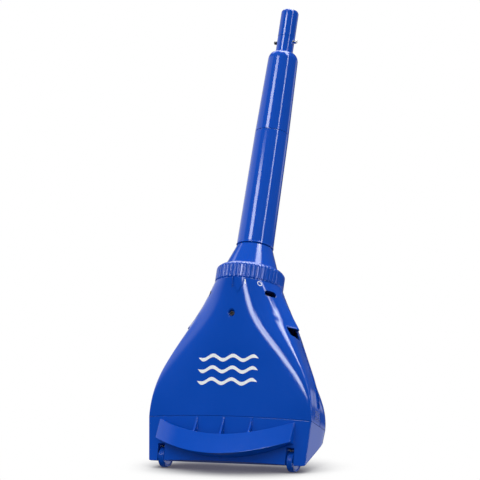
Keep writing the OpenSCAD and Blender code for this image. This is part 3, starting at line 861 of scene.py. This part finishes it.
def bumper_band():
    outer = leaning(prism("band_outer", band_plan(0), -60, 60, "z"))
    inner = leaning(prism("band_inner", band_plan(band_t), -61, 61, "z"))
    turn_outwards(outer)
    wall_part = cut(outer, inner)
    keep_common(wall_part, prism("band_face", band_face(), -60, 30, "y"))
    floor = leaning(prism("floor_plan", band_plan(0.01), -60, 60, "z"))
    turn_outwards(floor)
    keep_common(floor, prism("floor_face", band_face(), -60, 30, "y"))
    cut(floor, prism("floor_above", band_face(band_t), -70, 40, "y"))
    front_most = float(front_y(20)) - band_out - 6
    keep_common(floor, box("floor_reach", (-band_half, front_most, 0), (2 * band_half, band_out + 9, z_seam)))
    return join(wall_part, floor)


def bumper_web(x):
    """Upright fin between band and nose face, its front edge scooped."""
    foot = band_low + 12
    top = z_seam - 1
    band_top = band_low + band_h + band_smile(x)
    swell = bow * (x / seam_half) ** 2
    tip_y = float(front_y(top)) + swell - 0.5
    rest_y = float(front_y(band_top)) + swell - band_out + 2
    outline = []
    for quarter in np.linspace(0, math.pi / 2, 14):
        outline.append((rest_y + (tip_y - rest_y) * math.sin(quarter),
                        band_top - 1 + (top - band_top + 1) * (1 - math.cos(quarter))))
    outline.append((float(front_y(top)) + swell + 2, top))
    outline.append((float(front_y(foot)) + swell + 2, foot))
    outline.append((rest_y + 1, foot))
    return prism("web", outline, x - web_t / 2, x + web_t / 2, "x")


def below_mouth():
    tool = box("mouth", (-seam_half - 5, -60, -140), (2 * seam_half + 10, 240, 140))
    tilt = Matrix.Rotation(math.radians(mouth_slope), 4, "X")
    return transformed(tool, Matrix.Translation((0, mouth_y, 0)) @ tilt)


def build_nose():
    nose = nose_loft("nose_skin", 0, z_seam - seam_gap / 2, 0)
    turn_outwards(nose)
    cut(nose, nose_loft("deep", wall, nose_deck_z, wall))
    cut(nose, nose_loft("shallow", nose_deck_z + wall, z_seam + 2, wall, 8))
    lip = nose_loft("lip", nose_deck_z + 2, z_seam + 7, wall + 0.5, 12)
    turn_outwards(lip)
    cut(lip, nose_loft("lip_inside", nose_deck_z + 1, z_seam + 8, wall + 3, 12))
    keep_common(lip, box("lip_span", (24 - seam_half, -60, 0), (2 * seam_half - 48, 160, z_bend)))
    join(nose, lip)
    for house in both_sides(wheel_slot(wall, 0.5)):
        turn_outwards(house)
        keep_common(house, nose_loft("inside", 0, z_seam - seam_gap / 2, 1))
        join(nose, house)
    join(nose, bumper_band())
    join(nose, *[bumper_web(x) for x in (-web_step, 0, web_step)])
    port_size = (2 * port_half, port_rear - port_front, wall + 2)
    cut(nose, box("port", (-port_half, port_front, nose_deck_z - 1), port_size))
    cut(nose, *both_sides(wheel_slot(0, -5)))
    for side in (-1, 1):
        cut(nose, rod("axle_bore", (wheel_y, wheel_z), 2.5, side * wheel_x - 11, side * wheel_x + 11, "x"))
    cut(nose, below_mouth())
    finish_piece(nose, BLUE, "nose", ("nose_cap",))


def build_wheel(side, name):
    """Small wheel: rounded tyre with two shallow grooves, a web and a hub."""
    half = wheel_w / 2
    tread = []
    for x in np.linspace(-half + 1.6, half - 1.6, 29):
        groove = 0.5 * (math.exp(-((abs(x) - 1.7) / 0.35) ** 2))
        tread.append((wheel_r - groove, float(x)))
    loop = rounded([(2.6, -half), (6, -half), (6.4, -half + 1.4), (wheel_r - 3.2, -half + 1.4),
                    (wheel_r - 2.6, -half + 0.5), (wheel_r, -half + 0.5)], [0.3, 0.4, 0.4, 0.5, 0.4, 1.4])
    loop += tread
    loop += rounded([(wheel_r, half - 0.5), (wheel_r - 2.6, half - 0.5), (wheel_r - 3.2, half - 1.4),
                     (6.4, half - 1.4), (6, half), (2.6, half)], [1.4, 0.4, 0.5, 0.4, 0.4, 0.3])
    wheel = lathe_loop(name + "_disc", loop, 96)
    lie_down = Matrix.Rotation(math.pi / 2, 4, "Y")
    transformed(wheel, Matrix.Translation((side * wheel_x, wheel_y, wheel_z)) @ lie_down)
    finish_piece(wheel, BLUE, name, (name,), angle=60)


def build_latch(side, name):
    """Press pad with finger ridges across it."""
    pad = flank_band("pad", 0.2, wall, latch_front + seam_gap, latch_rear - seam_gap)
    turn_outwards(pad)
    keep_common(pad, box("pad_span", (0, 0, z_seam + seam_gap), (200, 60, latch_top - z_seam - 2 * seam_gap)))
    for z in np.arange(z_seam + 7, latch_top - 5, 3.2):
        x = float(half_w(z)) - 0.2
        join(pad, rod("ridge", (x, float(z)), 0.62, latch_front + 3.5, latch_rear - 3.5, "y", 16))
    pivot_x = float(half_w(latch_top)) - 5
    pivot_z = latch_top - 4
    join(pad, rod("pin", (pivot_x, pivot_z), 1.8, latch_front - 1.2, latch_rear + 3, "y", 32))
    width = latch_rear - latch_front - 12
    join(pad, box("arm", (pivot_x, latch_front + 6, pivot_z - 1.6), (3.4, width, 3.4)))
    hook_x = float(half_w(z_seam)) - 7.5
    join(pad, box("hook", (hook_x, latch_front + 6, z_seam - 5), (3, width, 11)))
    join(pad, box("tie", (hook_x, latch_front + 6, z_seam + 3), (5.5, width, 3)))
    if side < 0:
        mirrored(pad)
    pad.name = name + "_pad"
    finish_piece(pad, BLUE, name, (name,))


# ---------------------------------------------------------------- ring, cone, tubes

rib_count = 48
rib_h = 0.9
journal_r = 44.08


def build_ring():
    """Ring with grip ribs that fade into its rounded top edge."""
    per_rib = 14
    count = rib_count * per_rib
    angle = np.linspace(0, 2 * math.pi, count, endpoint=False)
    phase = (np.arange(count) % per_rib) / per_rib
    crown = ease((0.5 - np.abs(phase - 0.5) - 0.10) / 0.14)
    body_r = ring_r - rib_h
    round_r = 8.0
    rows = []
    heights = [0, 0.25, 0.7, 1.2, 1.9, 2.6] + list(np.linspace(4, ring_high - ring_low - round_r, 10))
    for h in heights:
        edge = 0.5 * (1 - ease(h / 0.7))
        fade = ease((h - 0.6) / 1.6)
        rows.append((body_r - edge, fade, ring_low + h))
    for a in np.linspace(8, 88, 12):
        turn = math.radians(a)
        height = ring_high - round_r + (round_r - 0.4) * math.sin(turn)
        rows.append((body_r - round_r + round_r * math.cos(turn), float(ease((42 - a) / 30)), height))
    rings = []
    for radius, fade, z in rows:
        r = radius + rib_h * fade * crown
        rings.append(np.stack([r * np.cos(angle), r * np.sin(angle), np.full(count, z)], axis=1))
    ring = loft("power_ring_grip", rings)
    turn_outwards(ring)
    cut(ring, rod("journal", (0, 0), journal_r, ring_low - 2, ring_high + 2, "z", 144))
    finish_piece(ring, BLUE, "power_ring", ("power_ring",), angle=50)


def build_cone():
    """Cone above the ring, with its hidden journal and plug."""
    foot = z_cone - 2
    bottom = low("motor_housing").z
    top = high("motor_housing").z
    shoulder = z_tube - seam_gap
    flange = bottom + 6.8
    profile = [
        (38, bottom), (47.4, bottom), (47.4, flange), (44, flange), (44, foot), (43.4, foot),
        (28.5, shoulder - 1), (28.0, shoulder), (24.35, shoulder), (24.35, top),
        (20, top), (20, z_tube - 14), (37, foot - 6),
    ]
    radii = [0.3, 0.3, 0.3, 0, 0, 0.4, 0.6, 0.5, 0.2, 0.5, 0.3, 1, 1]
    cone = lathe_loop("motor_housing_cone", rounded(profile, radii), 192)
    finish_piece(cone, BLUE, "head", ("motor_housing",))


def build_tube():
    """Battery tube with a small rolled lip at its lower end."""
    bore = 24.4
    foot_r = tube_r + 2
    profile = [(bore, z_tube), (tube_r + 2.4, z_tube), (tube_r + 2.4, z_tube + 1.7), (foot_r - 0.1, z_tube + 2.6),
               (tube_r, z_cap), (bore, z_cap)]
    tube = lathe_loop("battery_tube_wall", rounded(profile, [0.3, 0.7, 0.7, 0.8, 0.6, 0.3]), 192)
    finish_piece(tube, BLUE, "head", ("battery_tube",))


def build_cap():
    """Upper tube, rounded shoulder and pole spigot in one moulding."""
    plug_r = 24.32
    top_r = tube_r - 3
    ceiling = low("cap_contact").z + 6
    bottom = low("battery_cap").z
    start = z_cap + seam_gap
    outside = [(plug_r, bottom), (plug_r, start), (tube_r - 0.1, start)]
    outside = rounded(outside, [0.6, 0.1, 0.6], closed=False)
    outside += rounded([(tube_r - 0.1, start), (top_r, z_shoulder)], 0, closed=False)[1:]
    for a in np.linspace(4, 86, 20):
        turn = math.radians(a)
        outside.append((spigot_r + (top_r - spigot_r) * math.cos(turn), z_shoulder + shoulder_h * math.sin(turn)))
    relief_top = z_button + 8
    outside += [(spigot_r - 0.2, z_shoulder + shoulder_h + 0.4), (spigot_r - 0.2, relief_top - 0.2)]
    outside += [(spigot_r, relief_top)]
    outside += rounded([(spigot_r, z_tip - 20), (spigot_r, z_tip - 3), (spigot_r - 1.6, z_tip), (11.3, z_tip)],
                       [0, 1.2, 0.8, 0.3])
    inside = [(11.3, z_shoulder + shoulder_h + 2), (2, z_shoulder + shoulder_h + 1.5), (2, ceiling + 0.1),
              (20.1, ceiling), (20.1, bottom)]
    cap = lathe_loop("battery_cap_body", outside + inside, 192)
    turn_outwards(cap)
    cut(cap, rod("cross_hole", (0, z_button), 3.255, -30, 30, "x"))
    groove = lathe_loop("groove", [(22, z_cap - 9), (26, z_cap - 9), (26, z_cap - 6.2), (22, z_cap - 6.2)], 192)
    cut(cap, groove)
    finish_piece(cap, BLUE, "battery_cap", ("battery_cap",))


def build_button(side, name):
    """Snap button: polished pin with a domed end on a flat spring pad."""
    radius = 3.175
    tip = high("snap_button_right").x
    root = low("snap_button_right").x
    profile = [(radius, root + 0.5), (radius, tip - 1.4)]
    for a in np.linspace(10, 90, 10):
        turn = math.radians(a)
        profile.append((radius - 1.1 + 1.1 * math.cos(turn), tip - 1.4 + 1.4 * math.sin(turn)))
    pin = lathe(name + "_pin", profile, 48)
    transformed(pin, Matrix.Translation((0, 0, z_button)) @ Matrix.Rotation(math.pi / 2, 4, "Y"))
    turn_outwards(pin)
    bottom = low("snap_button_right")
    top = high("snap_button_right")
    pad = rounded([(bottom.y, bottom.z), (top.y, bottom.z), (top.y, top.z), (bottom.y, top.z)], 2)
    join(pin, prism("pad", pad, root, root + 1, "x"))
    if side < 0:
        transformed(pin, Matrix.Rotation(math.pi, 4, "Z"))
    finish_piece(pin, MATERIALS["button_steel"], "snap_" + name.split("_")[-1], (name,), angle=40)


# ---------------------------------------------------------------- printed marks

ink = 0.12


def printed_sheet(name, rows, body):
    """Thin closed layer of ink over rows of points that lie on a surface, with outward normals given."""
    points = np.array([[p for p, _ in row] for row in rows])
    normals = np.array([[n for _, n in row] for row in rows])
    count_rows, count_columns = points.shape[:2]
    top = (points + normals * ink).reshape(-1, 3)
    bottom = (points - normals * ink / 2).reshape(-1, 3)
    faces = strips(count_rows, count_columns, False)
    offset = len(top)
    faces += [tuple(i + offset for i in reversed(face)) for face in strips(count_rows, count_columns, False)]
    rim = [i for i in range(count_columns)]
    rim += [r * count_columns + count_columns - 1 for r in range(1, count_rows)]
    rim += [(count_rows - 1) * count_columns + c for c in range(count_columns - 2, -1, -1)]
    rim += [r * count_columns for r in range(count_rows - 2, 0, -1)]
    for i, here in enumerate(rim):
        after = rim[(i + 1) % len(rim)]
        faces.append((after, here, here + offset, after + offset))
    piece = make_object(name, np.concatenate([top, bottom]), faces)
    return finish_piece(piece, WHITE, body)


def on_front(x, z):
    """Point and outward normal on the front face."""
    step = 0.5
    y = float(front_skin(x, z))
    slope_x = (float(front_skin(x + step, z)) - float(front_skin(x - step, z))) / (2 * step)
    slope_z = (float(front_skin(x, z + step)) - float(front_skin(x, z - step))) / (2 * step)
    normal = np.array([slope_x, -1, slope_z])
    return np.array([x, y, z]), normal / np.linalg.norm(normal)


def wave_rows(width, wave_length, swing, thickness, surface):
    """Rows of a wavy stroke with tapered ends, placed on a surface."""
    rows = []
    for side in np.linspace(-1, 1, 5):
        row = []
        for along in np.linspace(-width / 2, width / 2, 121):
            taper = float(ease((width / 2 - abs(along)) / 9)) ** 0.5
            height = swing * math.sin(2 * math.pi * along / wave_length) + side * thickness / 2 * taper
            row.append(surface(along, height))
        rows.append(row)
    return rows


def build_marks():
    """Three plain waves on the head, in place of lettering."""
    width = 104.0
    for index in range(3):
        z = z_seam + 89 - 18 * index
        rows = wave_rows(width, width / 3, 3.4, 5.4, lambda along, height, z=z: on_front(along, z + height))
        printed_sheet(f"print_wave_{index + 1}", rows, "head")


def build_switch_signs():
    """Plain line and circle signs for on and off, under the ring."""
    sign_z = z_neck - 6.5
    radius = neck_r + 0.55

    def on_neck(degrees, z):
        turn = math.radians(degrees)
        normal = np.array([math.sin(turn), -math.cos(turn), 0])
        point = skin(z, np.array([turn - math.pi / 2]))[0]
        return point, normal
    tall = 3.6
    line = [[on_neck(19 + side * 0.8, sign_z + tall * along) for along in np.linspace(-1, 1, 12)]
            for side in (-1, 1)]
    printed_sheet("print_on_line", line, "head")
    ring_rows = []
    for r in (2.5, 3.6):
        ring_rows.append([on_neck(42 + math.degrees(r * math.cos(a) / radius), sign_z + r * math.sin(a))
                          for a in np.linspace(0, 2 * math.pi * 0.999, 49)])
    printed_sheet("print_off_circle", ring_rows, "head")


# ---------------------------------------------------------------- filter bag

cord_r = 2.6


def bag_rings(shrink):
    """Sections of the resting bag: narrow hem over the bag frame, wide belly, sloping shoulders."""
    bag_low = low("filter_bag")
    bag_high = high("filter_bag")
    height = bag_high.z - bag_low.z
    belly = bag_high.x - shrink
    hem = port_half + 9 - shrink
    rings = []
    angle = np.linspace(0, 2 * math.pi, 112, endpoint=False)
    belly_y = (bag_low.y + bag_high.y) / 2
    belly_depth = (bag_high.y - bag_low.y) / 2 - shrink
    hem_y = (port_front + port_rear) / 2 + 2
    hem_depth = (port_rear - port_front) / 2 + 11 - shrink
    for share in np.linspace(0.02, 0.985, 40):
        rise = ease(share / 0.42)
        fall = ease((share - 0.52) / 0.48)
        half = hem + (belly - hem) * rise - (belly - 50) * fall
        centre_y = hem_y + (belly_y - hem_y) * rise
        thick = (hem_depth + (belly_depth - hem_depth) * rise) * (1 - 0.25 * fall)
        power = 3.2
        reach = (np.abs(np.cos(angle)) ** power + np.abs(np.sin(angle)) ** power) ** (-1 / power)
        pleat = 1 - 0.02 * np.cos(28 * angle) * (1 - rise)
        rings.append(np.stack([half * reach * np.cos(angle) * pleat,
                               centre_y + thick * reach * np.sin(angle) * pleat,
                               np.full_like(angle, bag_low.z + height * share)], axis=1))
    return rings


def inflate(piece, frames, pressure, most, hem_z):
    """Puffs a closed mesh by a short cloth run; no point moves further than most millimetres, the hem not at all."""
    rest = np.array([v.co for v in piece.data.vertices])
    cloth = piece.modifiers.new("cloth", "CLOTH")
    cloth.settings.quality = 5
    cloth.settings.use_pressure = True
    cloth.settings.uniform_pressure_force = pressure
    cloth.settings.effector_weights.gravity = 0
    cloth.settings.bending_stiffness = 0.2
    cloth.point_cache.frame_end = frames
    for number in range(1, frames + 1):
        bpy.context.scene.frame_set(number)
    apply_modifiers(piece)
    bpy.context.scene.frame_set(1)
    moved = np.array([v.co for v in piece.data.vertices])
    if len(moved) != len(rest) or not np.isfinite(moved).all():
        return
    step = moved - rest
    length = np.linalg.norm(step, axis=1, keepdims=True)
    step *= np.minimum(1, most * MM / np.maximum(length, 1e-9))
    step *= ease((rest[:, 2:] / MM - hem_z) / 12)
    piece.data.vertices.foreach_set("co", (rest + step).astype(np.float32).ravel())


def build_bag():
    """Filter bag of woven cloth, puffed by the water, with a hem cord."""
    bag = loft("filter_bag_cloth", bag_rings(4.0))
    turn_outwards(bag)
    remesh = bag.modifiers.new("remesh", "REMESH")
    remesh.mode = "VOXEL"
    remesh.voxel_size = 0.005
    apply_modifiers(bag)
    inflate(bag, 16, 3.0, 3.5, low("filter_bag").z + 4)
    bag.modifiers.new("smoother", "SUBSURF").render_levels = 1
    finish_piece(bag, MATERIALS["bag_fabric"], "nose", ("filter_bag",), angle=180)
    cord_z = low("filter_bag").z + 0.6
    rings = []
    path = bag_rings(3.0)[0]
    centre = path.mean(axis=0)
    for i in range(len(path)):
        here = path[i]
        outward = here - centre
        outward[2] = 0
        outward /= np.linalg.norm(outward)
        ring = []
        for a in np.linspace(0, 2 * math.pi, 10, endpoint=False):
            lift = cord_z - here[2] + cord_r * math.sin(a)
            ring.append(here + outward * cord_r * math.cos(a) + np.array([0, 0, lift]))
        rings.append(np.array(ring))
    vertices = np.concatenate(rings)
    faces = []
    for i in range(len(rings)):
        for k in range(10):
            j = (i + 1) % len(rings)
            faces.append((i * 10 + k, i * 10 + (k + 1) % 10, j * 10 + (k + 1) % 10, j * 10 + k))
    cord = make_object("filter_bag_cord", vertices, faces)
    finish_piece(cord, MATERIALS["grey_plastic"], "nose", angle=180)


# ---------------------------------------------------------------- studio

def build_camera():
    """Long lens, right of the front and below it, with the object leaning in the picture."""
    azimuth = math.radians(28.0)
    elevation = math.radians(-17.25)
    roll = math.radians(8.54)
    target = Vector((0, 0, 0.330))
    distance = 3.481
    back = Vector((math.sin(azimuth) * math.cos(elevation), -math.cos(azimuth) * math.cos(elevation),
                   math.sin(elevation)))
    right = Vector((math.cos(azimuth), math.sin(azimuth), 0))
    up = back.cross(right)
    data = bpy.data.cameras.new("camera")
    data.sensor_width = 36
    data.lens = 165.34
    data.shift_x = -0.0275
    data.shift_y = 0.0394
    data.clip_end = 20
    camera = bpy.data.objects.new("camera", data)
    bpy.context.scene.collection.objects.link(camera)
    turned_right = right * math.cos(roll) + up * math.sin(roll)
    turned_up = up * math.cos(roll) - right * math.sin(roll)
    pose = Matrix((turned_right, turned_up, back)).transposed().to_4x4()
    pose.translation = target + back * distance
    camera.matrix_world = pose
    bpy.context.scene.camera = camera


def build_floor():
    """Pale floor under the two wheels; it fades out away from the object and is clear from below. Its contact shadow is
    painted shade: ambient occlusion darkens the floor's glowing colour.
    """
    lean = math.radians(24)
    touch = Vector((0, wheel_y * MM + wheel_r * MM * math.sin(lean), wheel_z * MM - wheel_r * MM * math.cos(lean)))
    size = 0.9
    mesh = bpy.data.meshes.new("floor")
    mesh.from_pydata([(-size, -size, 0), (size, -size, 0), (size, size, 0), (-size, size, 0)], [], [(0, 1, 2, 3)])
    floor = bpy.data.objects.new("floor", mesh)
    bpy.context.scene.collection.objects.link(floor)
    floor.matrix_world = Matrix.Translation(touch) @ Matrix.Rotation(lean, 4, "X")
    shader = Shader("floor_white_painted_shadow", "ShaderNodeMixShader")
    emission = shader.add("ShaderNodeEmission")
    clear = shader.add("ShaderNodeBsdfTransparent")
    shade = shader.add("ShaderNodeAmbientOcclusion", samples=24)
    shade.inputs["Distance"].default_value = 0.11
    # painted contact shadow: the occlusion factor maps to a dark tint in the glowing floor colour
    tone = shader.add("ShaderNodeValToRGB")
    tone.color_ramp.elements[0].position = 0.25
    tone.color_ramp.elements[0].color = (0.09, 0.088, 0.12, 1)
    tone.color_ramp.elements[1].position = 0.86
    tone.color_ramp.elements[1].color = (1, 1, 1, 1)
    shader.link(shade.outputs["AO"], tone.inputs["Fac"])
    shader.link(tone.outputs["Color"], emission.inputs["Color"])
    geometry = shader.add("ShaderNodeNewGeometry")
    path = shader.add("ShaderNodeLightPath")
    distance = shader.add("ShaderNodeVectorMath", operation="DISTANCE")
    shader.link(geometry.outputs["Position"], distance.inputs[0])
    distance.inputs[1].default_value = touch
    far = shader.span(distance.outputs["Value"], 0, 1, 0.22, 0.55)
    hidden = shader.add("ShaderNodeMath", operation="MAXIMUM")
    shader.link(far, hidden.inputs[0])
    shader.link(geometry.outputs["Backfacing"], hidden.inputs[1])
    not_camera = shader.add("ShaderNodeMath", operation="SUBTRACT")
    not_camera.inputs[0].default_value = 1
    shader.link(path.outputs["Is Camera Ray"], not_camera.inputs[1])
    mask = shader.add("ShaderNodeMath", operation="MAXIMUM")
    shader.link(hidden.outputs[0], mask.inputs[0])
    shader.link(not_camera.outputs[0], mask.inputs[1])
    shader.link(mask.outputs[0], shader.main.inputs["Fac"])
    shader.link(emission.outputs[0], shader.main.inputs[1])
    shader.link(clear.outputs[0], shader.main.inputs[2])
    mesh.materials.append(shader.material)


def build_key_light():
    """Large soft lamp above and left of the front; it lights the top of the head more than the nose."""
    data = bpy.data.lights.new("key", "AREA")
    data.size = 0.9
    data.energy = 3
    lamp = bpy.data.objects.new("key", data)
    bpy.context.scene.collection.objects.link(lamp)
    place = Vector((-0.55, -1.25, 0.85))
    aim = Vector((0, 0, 0.25)) - place
    lamp.matrix_world = Matrix.Translation(place) @ aim.to_track_quat("-Z", "Y").to_matrix().to_4x4()
    lamp.visible_glossy = False


class Sky:
    """World nodes: white for the camera, a soft studio with light boxes for everything else."""

    def __init__(self):
        world = bpy.data.worlds.new("studio")
        bpy.context.scene.world = world
        world.use_nodes = True
        self.tree = world.node_tree
        self.tree.nodes.clear()
        self.world = world

    def add(self, kind, **settings):
        node = self.tree.nodes.new(kind)
        for key, value in settings.items():
            setattr(node, key, value)
        return node

    def feed(self, target, value):
        if isinstance(value, (int, float)):
            target.default_value = value
        else:
            self.tree.links.new(value, target)

    def math(self, operation, first, second=0.0):
        node = self.add("ShaderNodeMath", operation=operation)
        self.feed(node.inputs[0], first)
        self.feed(node.inputs[1], second)
        return node.outputs[0]

    def step(self, value, start, end, low_value=0.0, high_value=1.0):
        node = self.add("ShaderNodeMapRange", interpolation_type="SMOOTHSTEP")
        self.feed(node.inputs["Value"], value)
        node.inputs["From Min"].default_value = start
        node.inputs["From Max"].default_value = end
        node.inputs["To Min"].default_value = low_value
        node.inputs["To Max"].default_value = high_value
        return node.outputs[0]


def build_light():
    sky = Sky()
    split = sky.add("ShaderNodeSeparateXYZ")
    sky.tree.links.new(sky.add("ShaderNodeTexCoord").outputs["Generated"], split.inputs[0])
    x, y, z = split.outputs
    around = sky.math("MULTIPLY", sky.math("ARCTAN2", x, sky.math("MULTIPLY", y, -1.0)), 180 / math.pi)
    above = sky.math("MULTIPLY", sky.math("ARCSINE", z), 180 / math.pi)

    def light_box(azimuth, half_width, bottom, top, soft, strength, slant=0.0):
        """Soft-edged bright window in the studio, in degrees; azimuth 0 is in front of the object."""
        leaned = sky.math("SUBTRACT", around, sky.math("MULTIPLY", above, slant))
        offset = sky.math("SUBTRACT", leaned, azimuth)
        offset = sky.math("WRAP", offset, 180.0)
        offset.node.inputs[2].default_value = -180.0
        aside = sky.math("ABSOLUTE", offset)
        inside = sky.step(aside, half_width - soft, half_width + soft, 1, 0)
        rise = sky.step(above, bottom - soft, bottom + soft)
        fall = sky.step(above, top - soft, top + soft, 1, 0)
        return sky.math("MULTIPLY", sky.math("MULTIPLY", inside, strength), sky.math("MULTIPLY", rise, fall))

    boxes = [
        light_box(8, 5.8, 0, 13.5, 2.0, 11, slant=-0.9),
        light_box(8, 9.5, 14, 25.5, 1.5, 10, slant=-0.9),
        light_box(65, 3.0, -60, 60, 1.4, 9),
        light_box(-100, 45, 10, 26, 6, 0.7),
        light_box(155, 20, -70, 14.5, 2, 1.0),
        light_box(158, 9, 20.5, 26, 1, 0.8),
        light_box(0, 180, 70, 92, 4, 8),
        light_box(-125, 40, 42, 68, 6, 2.5),
        light_box(64, 18, 45, 75, 4, 8),
    ]
    glossy = sky.step(above, -50, 70, 0.02, 0.12)
    for light in boxes:
        glossy = sky.math("ADD", glossy, light)
    diffuse = sky.step(around, -120, 90, 1.18, 0.86)
    diffuse = sky.math("MULTIPLY", diffuse, sky.step(above, -45, 70, 0.2, 2.15))
    path = sky.add("ShaderNodeLightPath")
    outputs = []
    for strength in (1.0, glossy, diffuse):
        background = sky.add("ShaderNodeBackground")
        background.inputs["Color"].default_value = (1, 1, 1, 1)
        sky.feed(background.inputs["Strength"], strength)
        outputs.append(background.outputs[0])
    by_kind = sky.add("ShaderNodeMixShader")
    sky.tree.links.new(path.outputs["Is Glossy Ray"], by_kind.inputs["Fac"])
    sky.tree.links.new(outputs[2], by_kind.inputs[1])
    sky.tree.links.new(outputs[1], by_kind.inputs[2])
    seen = sky.add("ShaderNodeMixShader")
    sky.tree.links.new(path.outputs["Is Camera Ray"], seen.inputs["Fac"])
    sky.tree.links.new(by_kind.outputs[0], seen.inputs[1])
    sky.tree.links.new(outputs[0], seen.inputs[2])
    end = sky.add("ShaderNodeOutputWorld")
    sky.tree.links.new(seen.outputs[0], end.inputs["Surface"])
    sky.world.cycles.sampling_method = "NONE"
    scene = bpy.context.scene
    scene.view_settings.view_transform = "Standard"
    scene.view_settings.look = "None"


# ---------------------------------------------------------------- build everything

dress_cad_nodes()
build_front_shell()
build_rear_shell()
build_nose()
build_wheel(-1, "wheel_left")
build_wheel(1, "wheel_right")
build_latch(-1, "latch_left")
build_latch(1, "latch_right")
build_ring()
build_cone()
build_tube()
build_cap()
build_button(-1, "snap_button_left")
build_button(1, "snap_button_right")
build_marks()
build_switch_signs()
build_bag()
build_camera()
build_floor()
build_key_light()
build_light()
